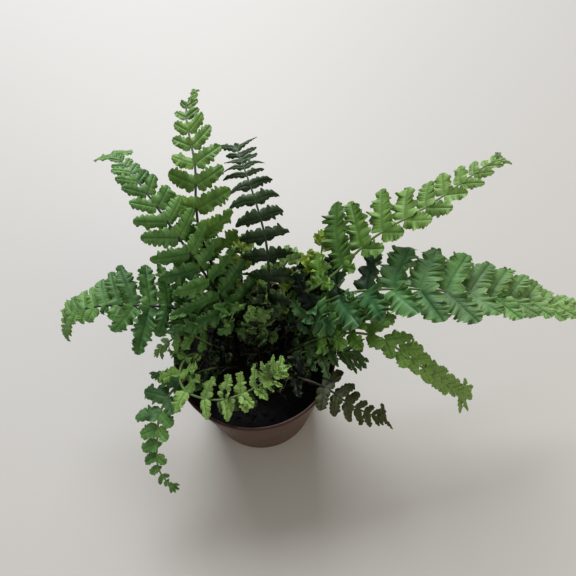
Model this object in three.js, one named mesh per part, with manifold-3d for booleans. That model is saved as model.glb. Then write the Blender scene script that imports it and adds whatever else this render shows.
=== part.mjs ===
// Potted wood fern: arching fronds of lobed, crisped leaflets, growing from one scaly crown
// in soil, in a round plastic nursery pot.
// Millimetres, +Z up. The origin is the centre of the pot's underside, and -Y is the front.

import * as THREE from 'three';
import { mergeVertices } from 'three/addons/utils/BufferGeometryUtils.js';
import Module from 'manifold-3d';

const wasm = await Module();
wasm.setup();

// Free space kept between neighbouring pieces
const GAP = 0.3;

// The pot
const POT_HEIGHT = 78;
const RIM_RADIUS = 45;
const BASE_RADIUS = 34;
const WALL = 1;
const FLOOR = 1.6;
const LIP_HEIGHT = 3.2;
const LIP_WIDTH = 0.5;
const FOOT_CHAMFER = 1;
const POT_SIDES = 40;
const DRAIN_HOLES = 6;
const DRAIN_RADIUS = 3.5;
const DRAIN_RING = 20;
const DRAIN_SIDES = 10;

// The soil and the crown that the fronds grow from
const SOIL_LEVEL = 69;
const SOIL_EDGE_DROP = 1.6;
const CRUMB_HEIGHT = 0.45;
const CROWN_PROFILE = [[0, 50], [3, 51], [5, 58], [6, 66], [6, 70], [5, 73.5], [3, 76], [0, 77]];
const CROWN_SIDES = 14;
const CROWN_SCALES = 7;
const CROWN_RELIEF = 0.08;

// Every stalk stands in a hole in the soil
const PEG_DEPTH = 5;
const HOLE_SIDES = 4;
const STALK_FOOT = 0.9;
const STALK_TIP = 0.4;

// Leaflets
const BLADE = 0.6;
const ROOT_WIDTH = 1.6;
const CROWDING = 1.3;
const FULL_SIZE_FROM = 0.3;
const TAPER = 1.8;
const SLIM = 0.4;
const TWIST = 20;
const BASE_WIDTH = 0.62;
const BLUNT = 2.6;
const NOTCH = 0.75;
const FOLD = 0.12;
const WAVE = 0.07;
const LOWEST = 2;
const LAST_PAIR = 3;
const BARE_STEP = 9;
const BARE_END = 2;
const ROOT_CLEAR = 0.4;
const SHORT_LEAFLET = 9;

// How far leaflets differ by chance: degrees of angle, lift and twist, and a share of the length
const CHANCE = { angle: 5, lift: 8, twist: 6, length: 0.08 };
// A shortened leaflet is narrower by its share, but for this
const KEPT_WIDTH = 0.25;

// What a leaflet tries, one after another, until it is clear of everything: an extra lift in degrees
// and a share of its full length
const TRIES = [[0, 1], [18, 1], [-18, 1], [32, 0.9], [-32, 0.9], [0, 0.75], [24, 0.75], [-24, 0.7],
  [0, 0.5], [36, 0.5], [-36, 0.5], [0, 0.3]];

// The edge of the fan at a crested tip: share of the length, share of the width
const FAN_EDGE = [[0.3, 0.5], [0.45, 0.34], [0.75, 1], [0.82, 0.55], [1, 0.5]];
const FAN_TIP = 0.86;
const FAN_DROOP = 0.25;
// The part of a crested tip that reaches past the end of the stalk
const CREST_BEYOND = 0.9;

// Each grown frond. route: points from the soil to the tip. bare: share of the stalk below the
// leaflets. leaflet: the longest one. first and last: length of the lowest and the last pair as a
// share of it. width: leaflet width as a share of the room along the stalk, at foot and tip. droop: how
// far a leaflet bends down. roll: the frond's turn about its stalk at foot and tip, in degrees. crest:
// the tip's fan. right and left: how the leaflets of one side stand, as their angle to the stalk at foot
// and tip, their lift above its plane, and their sizes from foot to tip
const GROWN = [
  {
    name: 'frond_right_long', colour: 0x3f7d56,
    bare: 0.22, pairs: 14, leaflet: 25, first: 0.75, last: 0.34,
    width: [1.2, 1.1], droop: 0.16, roll: [4, 10], crest: 10,
    right: [72, 44, 26, 1.15, 0.93, 1.05], left: [86, 30, 14, 1.2, 1, 0.65],
    route: [[9, 3, 70], [26, 9, 98], [48, 14, 112], [75, 13, 118], [105, 11, 117], [138, 12, 108],
      [183, 14, 92]],
  },
  {
    name: 'frond_right_upper', colour: 0x6f9f4a,
    bare: 0.24, pairs: 12, leaflet: 23, first: 1.05, last: 0.3,
    width: [1.45, 0.85], droop: 0.1, roll: [6, 0], crest: 12,
    right: [56, 36, 14, 0.3, 0.7, 0.85],
    left: [66, 44, 10, 0.6, 0.7, 1.55, 1.15, 1.1, 0.92, 0.76, 0.7, 0.66, 0.62, 0.58, 0.55],
    route: [[6, 8, 70], [21, 17, 98], [41, 23, 115], [63, 36, 131], [90, 47, 142], [119, 66, 148],
      [136, 77, 147]],
  },
  {
    name: 'frond_back_left', colour: 0x3f7440,
    bare: 0.24, pairs: 14, leaflet: 24, first: 1.05, last: 0.3,
    width: [1.15, 0.95], droop: 0.2, roll: [0, 6], crest: 13,
    right: [80, 44, 12, 0.95, 0.66, 0.45], left: [66, 44, 10, 1.25, 0.7, 0.65],
    route: [[-6, 6, 70], [-12, 11, 100], [-19, 17, 117], [-31, 26, 142], [-48, 46, 157],
      [-63, 66, 157], [-76, 76, 152]],
  },
  {
    name: 'frond_back_tall', colour: 0x7aa34c,
    bare: 0.28, pairs: 12, leaflet: 18, first: 1.05, last: 0.2,
    width: [1, 0.72], droop: 0.16, roll: [0, 0], crest: 6,
    right: [78, 42, 10, 1.05, 1.1, 0.9], left: [80, 40, 10, 1.05, 0.82, 0.45],
    route: [[-3, 10, 70], [-15, 23, 98], [-24, 36, 130], [-26, 48, 143], [-27, 68, 151],
      [-34, 103, 155], [-31, 128, 152]],
  },
  {
    name: 'frond_back_dark', colour: 0x35592f,
    bare: 0.34, pairs: 9, leaflet: 13, first: 0.9, last: 0.85,
    width: [1.15, 0.9], droop: 0.42, roll: [0, 0], crest: 20,
    right: [86, 62, 10, 1, 1, 1], left: [90, 62, 10, 1.1, 1, 1],
    route: [[2, 11, 70], [7, 15, 100], [9, 21, 115], [8, 35, 131], [2, 54, 145], [-9, 88, 151]],
  },
  {
    name: 'frond_left', colour: 0x6b9445,
    bare: 0.26, pairs: 15, leaflet: 20, first: 1, last: 0.3,
    width: [1.25, 0.85], droop: 0.25, roll: [-12, -16], crest: 8,
    right: [80, 44, 10, 1.35, 1.3, 0.9, 0.85, 0.8],
    left: [84, 50, 10, 0.6, 0.75, 0.8, 1.3, 0.85, 0.45, 0.25, 0.5, 0.5, 0.6, 0.75, 0.8, 0.8, 0.8, 0.8],
    route: [[-10, 2, 70], [-23, 9, 94], [-38, 10, 106], [-57, 10, 111], [-82, 13, 105], [-102, 16, 90],
      [-112, 12, 68]],
  },
  {
    name: 'frond_right_lower', colour: 0x6c9a48,
    bare: 0.25, pairs: 13, leaflet: 14, first: 0.95, last: 0.8,
    width: [1.6, 1.4], droop: 0.2, roll: [6, 10], crest: 15,
    right: [52, 30, 16, 0.9, 0.6, 0.8], left: [56, 30, 12, 1.45, 0.85, 1.05],
    route: [[11, -3, 70], [33, -2, 93], [48, -3, 102], [65, -8, 105], [84, -18, 95], [104, -23, 77],
      [122, -27, 63]],
  },
  {
    name: 'frond_front_fresh', colour: 0x7fb060,
    bare: 0.3, pairs: 9, leaflet: 13, first: 0.8, last: 0.8,
    width: [0.75, 0.85], droop: 0.2, roll: [0, 12], crest: 10,
    right: [80, 54, 10, 0.95, 0.8, 0.7], left: [84, 60, 32, 1, 1, 1.05],
    route: [[-12, -7, 70], [-31, -6, 86], [-37, -17, 92], [-33, -29, 92], [-16, -33, 90], [3, -26, 90],
      [20, -13, 92]],
  },
  {
    name: 'frond_trailing', colour: 0x557f45,
    bare: 0.3, pairs: 10, leaflet: 13, first: 1, last: 0.3,
    width: [1.25, 0.9], droop: 0.15, roll: [0, 10], crest: 7,
    right: [76, 44, 10, 1.4, 0.9, 0.7], left: [70, 40, 10, 0.85, 0.7, 0.65],
    route: [[-7, -8, 70], [-23, -13, 82], [-38, -22, 85], [-47, -34, 81], [-50, -47, 71],
      [-50, -60, 59], [-41, -69, 49]],
  },
  {
    name: 'frond_right_small', colour: 0x45562d,
    bare: 0.5, pairs: 7, leaflet: 12, first: 0.95, last: 0.5,
    width: [0.85, 0.75], droop: 0.15, roll: [0, 0], crest: 12,
    right: [80, 48, 10, 1, 0.85, 0.8], left: [66, 40, 10, 1.1, 0.8, 0.75],
    route: [[8, -9, 70], [22, -19, 84], [37, -26, 86], [51, -33, 78], [65, -36, 68], [76, -35, 59]],
  },
  {
    name: 'frond_left_curled', colour: 0x5f8a4a,
    bare: 0.45, pairs: 5, leaflet: 10, first: 0.9, last: 0.6,
    width: [0.9, 0.9], droop: 0.5, roll: [0, 0], crest: 6,
    right: [80, 48, 10, 1, 1, 1], left: [80, 48, 10, 1, 1, 1],
    route: [[-10, -3, 70], [-23, 0, 84], [-34, 2, 93], [-42, 0, 93], [-55, -6, 84]],
  },
  {
    name: 'frond_front_dark', colour: 0x33502f,
    bare: 0.35, pairs: 6, leaflet: 16, first: 0.9, last: 0.8,
    width: [1.4, 1.3], droop: 0.2, roll: [0, 0], crest: 14,
    right: [80, 48, 10, 1, 1, 1], left: [80, 48, 10, 1, 1, 1],
    route: [[13, -7, 70], [27, -5, 84], [43, -7, 90], [62, -11, 83]],
  },
];

// The young fronds that crowd round the crown: colour, longest leaflet and route
const YOUNG = [
  [0x5d8a45, 15, [[-16, 7, 70], [-23, 12, 92], [-33, 18, 102], [-45, 25, 104]]],
  [0x55803f, 17, [[-9, 14, 70], [-21, 24, 96], [-26, 40, 110], [-27, 59, 116]]],
  [0x8a9a3a, 16, [[-3, 15, 70], [-5, 20, 98], [-6, 34, 112], [-5, 52, 117]]],
  [0x4f8360, 14, [[3, 16, 70], [5, 18, 96], [14, 28, 110], [25, 42, 117]]],
  [0x8d9c3c, 10, [[9, 14, 70], [17, 22, 98], [35, 34, 112], [38, 52, 121]]],
  [0x1f2a20, 13, [[13, 10, 70], [20, 18, 90], [29, 26, 100], [40, 37, 102]]],
  [0x3f7a5e, 14, [[15, 5, 70], [18, 12, 86], [26, 16, 93], [38, 20, 96]]],
  [0x6f9c50, 14, [[18, 0, 70], [29, 3, 84], [41, 5, 90], [53, 5, 92]]],
  [0x4a7840, 13, [[3, -10, 70], [2, 3, 84], [2, 7, 96], [-1, 13, 106]]],
  [0x3f6b3c, 15, [[-12, 9, 70], [-11, 12, 92], [-16, 18, 102], [-25, 23, 106]]],
  [0x35592f, 10, [[4, -14, 70], [4, -11, 76], [9, -18, 79], [15, -26, 77]]],
  [0x2f4f2c, 10, [[12, -14, 70], [17, -12, 76], [24, -15, 80], [31, -20, 80]]],
  [0x44733f, 14, [[18, 8, 70], [30, 9, 88], [43, 14, 100], [54, 20, 104]]],
];
const YOUNG_HABIT = {
  bare: 0.3, pairs: 4, first: 0.85, last: 0.6, width: [1, 1], droop: 0.25,
  roll: [0, 0], crest: 8, right: [80, 48, 10, 1, 1, 1], left: [80, 48, 10, 1, 1, 1],
};

// Surfaces and their meshes

class Shell {
  constructor() {
    this.points = [];
    this.faces = [];
  }

  add(point) {
    this.points.push(point);
    return this.points.length - 1;
  }

  triangle(a, b, c) {
    this.faces.push(a, b, c);
  }

  quad(a, b, c, d) {
    this.triangle(a, b, c);
    this.triangle(a, c, d);
  }

  geometry() {
    const geometry = new THREE.BufferGeometry();
    const positions = this.points.flatMap((point) => point.toArray());
    geometry.setAttribute('position', new THREE.Float32BufferAttribute(positions, 3));
    geometry.setIndex(this.faces);
    return geometry;
  }
}

function named(name, geometry, colour, roughness) {
  geometry.computeVertexNormals();
  const material = new THREE.MeshStandardMaterial({ color: colour, roughness, metalness: 0 });
  const mesh = new THREE.Mesh(geometry, material);
  mesh.name = name;
  return mesh;
}

function solid(geometry) {
  const bare = geometry.clone();
  bare.deleteAttribute('normal');
  bare.deleteAttribute('uv');
  const merged = mergeVertices(bare, 1e-4);
  const index = merged.index.array;
  const corners = [];
  for (let i = 0; i < index.length; i += 3) {
    const [a, b, c] = [index[i], index[i + 1], index[i + 2]];
    if (a !== b && b !== c && c !== a) {
      corners.push(a, b, c);
    }
  }
  return new wasm.Manifold(new wasm.Mesh({
    numProp: 3,
    vertProperties: new Float32Array(merged.attributes.position.array),
    triVerts: new Uint32Array(corners),
  }));
}

function geometryOf(body) {
  const mesh = body.getMesh();
  const geometry = new THREE.BufferGeometry();
  geometry.setAttribute('position', new THREE.Float32BufferAttribute(mesh.vertProperties, 3));
  geometry.setIndex(Array.from(mesh.triVerts));
  return geometry;
}

function lathe(profile, sides) {
  const points = profile.map(([radius, height]) => new THREE.Vector2(radius, height));
  return new THREE.LatheGeometry(points, sides).rotateX(Math.PI / 2);
}

function post(x, y, radius, bottom, top, sides) {
  return new THREE.CylinderGeometry(radius, radius, top - bottom, sides)
    .rotateX(Math.PI / 2)
    .translate(x, y, (top + bottom) / 2);
}

// The pot, the soil and the crown

function outerRadius(height) {
  return BASE_RADIUS + (RIM_RADIUS - LIP_WIDTH - BASE_RADIUS) * (height / POT_HEIGHT);
}

function potSolid() {
  const lip = POT_HEIGHT - LIP_HEIGHT;
  const round = 0.5;
  const profile = [
    [0, 0],
    [BASE_RADIUS - FOOT_CHAMFER, 0],
    [outerRadius(FOOT_CHAMFER), FOOT_CHAMFER],
    [outerRadius(lip), lip],
    [RIM_RADIUS, lip + round],
    [RIM_RADIUS, POT_HEIGHT - round],
    [RIM_RADIUS - round, POT_HEIGHT],
    [outerRadius(POT_HEIGHT) - WALL + round, POT_HEIGHT],
    [outerRadius(POT_HEIGHT) - WALL, POT_HEIGHT - round],
    [outerRadius(FLOOR) - WALL, FLOOR],
    [0, FLOOR],
  ];
  let pot = solid(lathe(profile, POT_SIDES));
  for (let hole = 0; hole < DRAIN_HOLES; hole += 1) {
    const turn = (2 * Math.PI * hole) / DRAIN_HOLES;
    const x = DRAIN_RING * Math.cos(turn);
    const y = DRAIN_RING * Math.sin(turn);
    pot = pot.subtract(solid(post(x, y, DRAIN_RADIUS, -1, FLOOR + 1, DRAIN_SIDES)));
  }
  return pot;
}

function crumbled(geometry, level) {
  const position = geometry.attributes.position;
  for (let i = 0; i < position.count; i += 1) {
    const [x, y, z] = [position.getX(i), position.getY(i), position.getZ(i)];
    if (z > level) {
      position.setZ(i, z + CRUMB_HEIGHT * Math.sin(0.9 * x + 2) * Math.cos(0.8 * y - 1));
    }
  }
  return geometry;
}

function soilSolid() {
  const inside = (height) => outerRadius(height) - WALL - GAP;
  const bottom = FLOOR + GAP;
  const edge = SOIL_LEVEL - SOIL_EDGE_DROP;
  const profile = [
    [0, bottom],
    [inside(bottom), bottom],
    [inside(edge), edge],
    [32, edge + 1],
    [18, SOIL_LEVEL],
    [0, SOIL_LEVEL],
  ];
  return solid(crumbled(lathe(profile, POT_SIDES / 2), edge + 0.1));
}

function crownGeometry(grow) {
  const profile = CROWN_PROFILE.map(([radius, height]) => [radius > 0 ? radius + grow : 0, height]);
  profile[0][1] -= grow;
  const geometry = lathe(profile, CROWN_SIDES);
  if (grow === 0) {
    const position = geometry.attributes.position;
    for (let i = 0; i < position.count; i += 1) {
      const [x, y, z] = [position.getX(i), position.getY(i), position.getZ(i)];
      const turn = Math.atan2(y, x);
      const scale = 1 - CROWN_RELIEF * (1 + Math.cos(CROWN_SCALES * turn + z));
      position.setXY(i, x * scale, y * scale);
    }
  }
  return geometry;
}

// Fronds

const RADIAN = Math.PI / 180;
const STEPS = 200;
const UP = new THREE.Vector3(0, 0, 1);

// Repeatable draws from -1 to 1
function draws(seed) {
  let state = (seed * 2654435761) % 4294967296;
  return () => {
    state = (state * 1664525 + 1013904223) % 4294967296;
    return state / 2147483648 - 1;
  };
}

// The route as closely spaced spots, each with its distance from the foot, its direction and the
// level direction to the frond's right
function walk(route) {
  const corners = route.map((point) => new THREE.Vector3(...point));
  const spots = new THREE.CatmullRomCurve3(corners, false, 'catmullrom', 0.5).getPoints(STEPS);
  let distance = 0;
  return spots.map((centre, i) => {
    const before = spots[Math.max(i - 1, 0)];
    const ahead = spots[Math.min(i + 1, STEPS)].clone().sub(before).normalize();
    distance += centre.distanceTo(before);
    return { centre, ahead, side: ahead.clone().cross(UP).normalize(), distance };
  });
}

function station(frond, distance) {
  const path = frond.path;
  let next = path.findIndex((spot) => spot.distance >= distance);
  next = next < 1 ? (next === 0 ? 1 : STEPS) : next;
  const [a, b] = [path[next - 1], path[next]];
  const share = THREE.MathUtils.clamp((distance - a.distance) / (b.distance - a.distance), 0, 1);
  const ahead = a.ahead.clone().lerp(b.ahead, share).normalize();
  const along = distance / frond.length;
  const roll = THREE.MathUtils.lerp(frond.roll[0], frond.roll[1], along) * RADIAN;
  const side = a.side.clone().lerp(b.side, share).normalize().applyAxisAngle(ahead, roll);
  return {
    centre: a.centre.clone().lerp(b.centre, share),
    ahead,
    side,
    up: side.clone().cross(ahead),
    radius: THREE.MathUtils.lerp(STALK_FOOT, STALK_TIP, along),
  };
}

function sectionCorners(spot) {
  return [[1, 1], [-1, 1], [-1, -1], [1, -1]].map(([right, high]) => spot.centre.clone()
    .addScaledVector(spot.side, right * spot.radius)
    .addScaledVector(spot.up, high * spot.radius));
}

// A leaflet's half width along its length: broad at the base, blunt at the end
function halfWidth(share) {
  return Math.min(1, BASE_WIDTH + share / FULL_SIZE_FROM) * Math.sqrt(1 - share ** BLUNT);
}

// A leaflet or a crested tip as the points of its upper face: its two edges from root to tip, the
// near one first when seen from above against the clock, the tip, and the midrib between them
function bladePoints(blade, shape) {
  const { root, out, across, up, hand, length, width, lift, droop } = blade;
  const rib = (share) => root.clone()
    .addScaledVector(out, length * share * Math.cos(lift))
    .addScaledVector(up, length * (share * Math.sin(lift) - droop * share * share));
  const edge = (side) => shape.edge.map(([share, wide], order) => rib(share)
    .addScaledVector(across, side * width * wide)
    .addScaledVector(up, width * (FOLD * wide + (order % 2 === 0 ? WAVE : -WAVE))));
  return { near: edge(-hand), far: edge(hand), tip: rib(shape.tip), midrib: shape.ribs.map(rib) };
}

// The order in which triangles join one edge of a blade to its midrib
function edgeToRib(shape) {
  const edge = [0, ...shape.edge.map(([share]) => share), Infinity];
  const rib = [...shape.ribs, Infinity];
  const steps = [];
  let [i, j] = [0, 0];
  while (edge[i + 1] < Infinity || rib[j + 1] < Infinity) {
    const alongEdge = edge[i + 1] <= rib[j + 1];
    steps.push([i, j, alongEdge ? 'edge' : 'rib']);
    [i, j] = alongEdge ? [i + 1, j] : [i, j + 1];
  }
  steps.push([i, j, 'tip']);
  return steps;
}

// Sews a blade to the two upper and two lower corners that the stalk holds ready for it
function sewBlade(shell, blade, corners, spare = 0) {
  const put = (depth) => (point) => shell.add(point.clone().addScaledVector(blade.normal, -depth));
  const sheet = (start, end, place) => ({
    near: [start, ...blade.points.near.map(place)],
    far: [end, ...blade.points.far.map(place)],
    tip: place(blade.points.tip),
    midrib: blade.points.midrib.map(place),
  });
  const top = sheet(corners.topStart, corners.topEnd, put(-spare));
  const bottom = sheet(corners.bottomStart, corners.bottomEnd, put(BLADE + spare));
  for (const { near, far, tip, midrib } of [top, bottom]) {
    const sew = (a, b, c) => (near === top.near ? shell.triangle(a, b, c) : shell.triangle(a, c, b));
    sew(near[0], midrib[0], far[0]);
    for (const [i, j, kind] of edgeToRib(blade.shape)) {
      const ribNext = kind === 'rib' ? midrib[j + 1] : tip;
      sew(near[i], kind === 'edge' ? near[i + 1] : ribNext, midrib[j]);
      sew(far[i], midrib[j], kind === 'edge' ? far[i + 1] : ribNext);
    }
  }
  const around = ({ near, far, tip }) => [...near, tip, ...far.toReversed()];
  const [high, low] = [around(top), around(bottom)];
  for (let i = 0; i < high.length - 1; i += 1) {
    shell.quad(low[i], low[i + 1], high[i + 1], high[i]);
  }
}

const PLAIN_EDGE = [0.2, 0.75].map((share) => [share, halfWidth(share)]);
const LOBED_EDGE = [[0.2, 1], [0.45, NOTCH], [0.75, 1]]
  .map(([share, depth]) => [share, depth * halfWidth(share)]);

function leafletShape(length) {
  if (length < SHORT_LEAFLET) {
    return { edge: PLAIN_EDGE, tip: 1, ribs: [0.45] };
  }
  return { edge: LOBED_EDGE, tip: 1, ribs: [0.3, 0.65] };
}

const FAN_SHAPE = { edge: FAN_EDGE, tip: FAN_TIP, ribs: [0.3, 0.6] };

// The places where pairs of leaflets leave the stalk, closer together towards the tip
function pairPlaces(frond) {
  const start = frond.length * frond.bare;
  const end = frond.length - LAST_PAIR;
  return Array.from({ length: frond.pairs }, (_, pair) => {
    const share = pair / (frond.pairs - 1);
    return start + (end - start) * (1 - (1 - share) ** CROWDING);
  });
}

function leafletLength(frond, share) {
  const opening = frond.first + (1 - frond.first) * Math.min(1, share / FULL_SIZE_FROM);
  return frond.leaflet * opening * (1 - (1 - frond.last) * share ** TAPER);
}

// A size between those given, evenly spaced, from the foot of a frond to its tip
function sizeAlong(sizes, share) {
  const place = share * (sizes.length - 1);
  const before = Math.min(Math.floor(place), sizes.length - 2);
  return THREE.MathUtils.lerp(sizes[before], sizes[before + 1], place - before);
}

// Every leaflet of a frond with its natural size and direction, in pairs from the foot up
function plannedLeaflets(frond, seed) {
  const { lerp } = THREE.MathUtils;
  const draw = draws(seed);
  const places = pairPlaces(frond);
  return places.flatMap((distance, pair) => {
    const share = pair / (frond.pairs - 1);
    const spot = station(frond, distance);
    const room = pair < frond.pairs - 1 ? places[pair + 1] - distance : distance - places[pair - 1];
    const fill = lerp(frond.width[0], frond.width[1], share);
    return [1, -1].map((hand) => {
      const [angleLow, angleHigh, raised, ...sizes] = hand === 1 ? frond.right : frond.left;
      const angle = (lerp(angleLow, angleHigh, share) + CHANCE.angle * draw()) * RADIAN;
      const lift = raised + CHANCE.lift * draw();
      const twist = (TWIST + CHANCE.twist * draw()) * RADIAN;
      const length = leafletLength(frond, share) * sizeAlong(sizes, share)
        * (1 + CHANCE.length * draw());
      const side = spot.side.clone().multiplyScalar(hand);
      const turned = (forward, aside) => spot.ahead.clone()
        .multiplyScalar(forward)
        .addScaledVector(side, aside);
      const level = turned(Math.sin(angle), -Math.cos(angle));
      return {
        pair, hand, lift, length,
        root: spot.centre.clone().addScaledVector(side, spot.radius).addScaledVector(spot.up, BLADE / 2),
        out: turned(Math.cos(angle), Math.sin(angle)),
        across: level.multiplyScalar(Math.cos(twist)).addScaledVector(spot.up, Math.sin(twist)),
        up: spot.up,
        width: Math.min(0.5 * room * Math.sin(angle) * fill, SLIM * length),
        droop: frond.droop,
      };
    });
  });
}

function grown(leaflet, extraLift, size) {
  const length = leaflet.length * size;
  const blade = {
    ...leaflet,
    length,
    lift: (leaflet.lift + extraLift) * RADIAN,
    width: leaflet.width * Math.min(1, size + KEPT_WIDTH),
    shape: leafletShape(length),
    normal: leaflet.out.clone().cross(leaflet.across).multiplyScalar(leaflet.hand),
  };
  return { ...blade, points: bladePoints(blade, blade.shape) };
}

function crest(frond) {
  const spot = station(frond, frond.length);
  const blade = {
    root: spot.centre.clone().addScaledVector(spot.up, BLADE / 2),
    out: spot.ahead,
    across: spot.side.clone().negate(),
    up: spot.up,
    hand: 1,
    length: frond.crest,
    width: 0.5 * frond.crest,
    lift: 0,
    droop: FAN_DROOP,
    shape: FAN_SHAPE,
    normal: spot.up,
  };
  return { ...blade, points: bladePoints(blade, FAN_SHAPE) };
}

// The stalk's rings from the foot in the soil to the tip. A ring that opens a pair's place says which
function ringsOf(frond) {
  const foot = station(frond, 0);
  const upright = { ...foot, ahead: UP, up: foot.side.clone().cross(UP), radius: STALK_FOOT };
  const rings = [
    { ...upright, centre: foot.centre.clone().setZ(SOIL_LEVEL - PEG_DEPTH) },
    upright,
  ];
  const places = pairPlaces(frond);
  const bare = places[0] - BARE_END;
  const bareRings = Math.ceil(bare / BARE_STEP);
  for (let i = 1; i <= bareRings; i += 1) {
    rings.push(station(frond, (bare * i) / bareRings));
  }
  places.forEach((distance, pair) => {
    const room = pair < frond.pairs - 1 ? places[pair + 1] - distance : LAST_PAIR;
    const half = Math.min(ROOT_WIDTH, 0.5 * room) / 2;
    rings.push({ ...station(frond, distance - half), pair });
    rings.push(station(frond, distance + half));
  });
  rings.push(station(frond, frond.length));
  return rings;
}

// One frond as one body. Each leaflet takes the place of the stalk's side face between two rings
function frondShell(frond, leaflets) {
  const shell = new Shell();
  const rings = ringsOf(frond).map((spot) => ({
    pair: spot.pair,
    corners: sectionCorners(spot).map((corner) => shell.add(corner)),
  }));
  const [c0, c1, c2, c3] = rings[0].corners;
  shell.quad(c0, c1, c2, c3);
  for (let i = 0; i < rings.length - 1; i += 1) {
    const [a, b] = [rings[i].corners, rings[i + 1].corners];
    const here = leaflets.filter((leaflet) => leaflet.pair === rings[i].pair);
    const right = here.find((leaflet) => leaflet.hand === 1);
    const left = here.find((leaflet) => leaflet.hand === -1);
    shell.quad(a[1], a[0], b[0], b[1]);
    shell.quad(a[3], a[2], b[2], b[3]);
    if (right) {
      sewBlade(shell, right, { topStart: a[0], bottomStart: a[3], topEnd: b[0], bottomEnd: b[3] });
    } else {
      shell.quad(a[0], a[3], b[3], b[0]);
    }
    if (left) {
      sewBlade(shell, left, { topStart: b[1], bottomStart: b[2], topEnd: a[1], bottomEnd: a[2] });
    } else {
      shell.quad(a[2], a[1], b[1], b[2]);
    }
  }
  const [topStart, topEnd, bottomEnd, bottomStart] = rings.at(-1).corners;
  sewBlade(shell, crest(frond), { topStart, bottomStart, topEnd, bottomEnd });
  return shell;
}

// A leaflet alone, a little too thick, to try whether it is clear
function looseLeaflet(blade) {
  const shell = new Shell();
  const half = blade.across.clone().multiplyScalar(ROOT_WIDTH / 2);
  const [topStart, bottomStart, topEnd, bottomEnd] = [[-1, 0], [-1, BLADE], [1, 0], [1, BLADE]]
    .map(([side, depth]) => shell.add(blade.root.clone()
      .addScaledVector(half, side * blade.hand)
      .addScaledVector(blade.out, ROOT_CLEAR)
      .addScaledVector(blade.normal, -depth)));
  sewBlade(shell, blade, { topStart, bottomStart, topEnd, bottomEnd }, GAP);
  shell.quad(bottomEnd, bottomStart, topStart, topEnd);
  return shell;
}

function obstacle(shell, frond, pair) {
  const geometry = shell.geometry();
  geometry.computeBoundingBox();
  return { box: geometry.boundingBox, body: solid(geometry), frond, pair };
}

// Gives every frond the leaflets that have room, each bent up or down or shortened where it must be
function growAll(fronds, fixed) {
  const stalks = fronds.map((frond) => obstacle(frondShell(frond, []), frond.name));
  const around = [...fixed, ...stalks];
  for (const frond of fronds) {
    frond.leaflets = [];
    for (const planned of plannedLeaflets(frond, frond.seed)) {
      for (const [extraLift, size] of TRIES) {
        const blade = grown(planned, extraLift, size);
        const trial = obstacle(looseLeaflet(blade), frond.name, `${planned.pair} ${planned.hand}`);
        const ownStalk = (other) => other.frond === frond.name && other.pair === undefined;
        const clear = trial.box.min.z > LOWEST && !around.some((other) => !ownStalk(other)
          && other.box.intersectsBox(trial.box)
          && !other.body.intersect(trial.body).isEmpty());
        if (clear) {
          frond.leaflets.push(blade);
          around.push(trial);
          break;
        }
      }
    }
  }
}

// The whole plant in its pot

const pot = potSolid();
const young = YOUNG.map(([colour, leaflet, route], order) => ({
  name: `young_frond_${String(order + 1).padStart(2, '0')}`,
  colour,
  leaflet,
  route,
  ...YOUNG_HABIT,
}));
const fronds = [...GROWN, ...young].map((frond, order) => {
  const path = walk(frond.route);
  const length = path[STEPS].distance - CREST_BEYOND * frond.crest;
  return { ...frond, path, length, seed: order + 1 };
});

const holeRadius = (STALK_FOOT * Math.SQRT2 + GAP) / Math.cos(Math.PI / HOLE_SIDES);
let soil = soilSolid().subtract(solid(crownGeometry(GAP)));
for (const frond of fronds) {
  const [x, y] = frond.route[0];
  const bottom = SOIL_LEVEL - PEG_DEPTH - GAP;
  soil = soil.subtract(solid(post(x, y, holeRadius, bottom, SOIL_LEVEL + 5, HOLE_SIDES)));
}

const crown = solid(crownGeometry(0));
growAll(fronds, [pot, soil, crown].map((body) => {
  const { min, max } = body.boundingBox();
  return { box: new THREE.Box3(new THREE.Vector3(...min), new THREE.Vector3(...max)), body };
}));

const plant = new THREE.Group();
plant.add(
  named('pot', geometryOf(pot), 0x8a5f52, 0.45),
  named('soil', geometryOf(soil), 0x14110e, 1),
  named('crown', geometryOf(crown), 0x4a3020, 0.9),
);
for (const frond of fronds) {
  const geometry = frondShell(frond, frond.leaflets).geometry();
  plant.add(named(frond.name, geometry, frond.colour, 0.6));
}

export default plant;
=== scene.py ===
# %% [markdown]
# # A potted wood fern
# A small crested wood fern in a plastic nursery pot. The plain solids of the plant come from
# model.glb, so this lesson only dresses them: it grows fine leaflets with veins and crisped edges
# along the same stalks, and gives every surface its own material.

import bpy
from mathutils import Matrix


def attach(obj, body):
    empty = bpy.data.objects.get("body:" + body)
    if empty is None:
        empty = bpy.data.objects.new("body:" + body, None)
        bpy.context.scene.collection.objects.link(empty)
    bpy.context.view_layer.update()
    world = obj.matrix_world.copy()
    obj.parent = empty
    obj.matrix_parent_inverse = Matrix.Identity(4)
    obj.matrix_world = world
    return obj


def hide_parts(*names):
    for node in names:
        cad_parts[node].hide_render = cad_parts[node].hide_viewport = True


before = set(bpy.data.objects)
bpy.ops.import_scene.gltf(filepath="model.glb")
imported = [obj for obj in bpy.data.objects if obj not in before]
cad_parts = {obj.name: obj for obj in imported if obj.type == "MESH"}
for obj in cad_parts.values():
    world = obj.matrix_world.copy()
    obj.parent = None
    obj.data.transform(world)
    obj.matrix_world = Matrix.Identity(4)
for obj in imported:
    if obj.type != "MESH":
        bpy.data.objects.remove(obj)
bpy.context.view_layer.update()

# %% Units and libraries
from math import cos, pi, radians, sin

import bpy
import numpy as np
from mathutils import Matrix, Vector, kdtree

MM = 0.001

# %% [markdown]
# ## Camera
# A camera was fitted to the rim and the base of the pot in the picture. It looks 58 degrees down,
# leans by a degree, and its lens follows from a focal length of 500 pixels in a 576 pixel picture.

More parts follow.
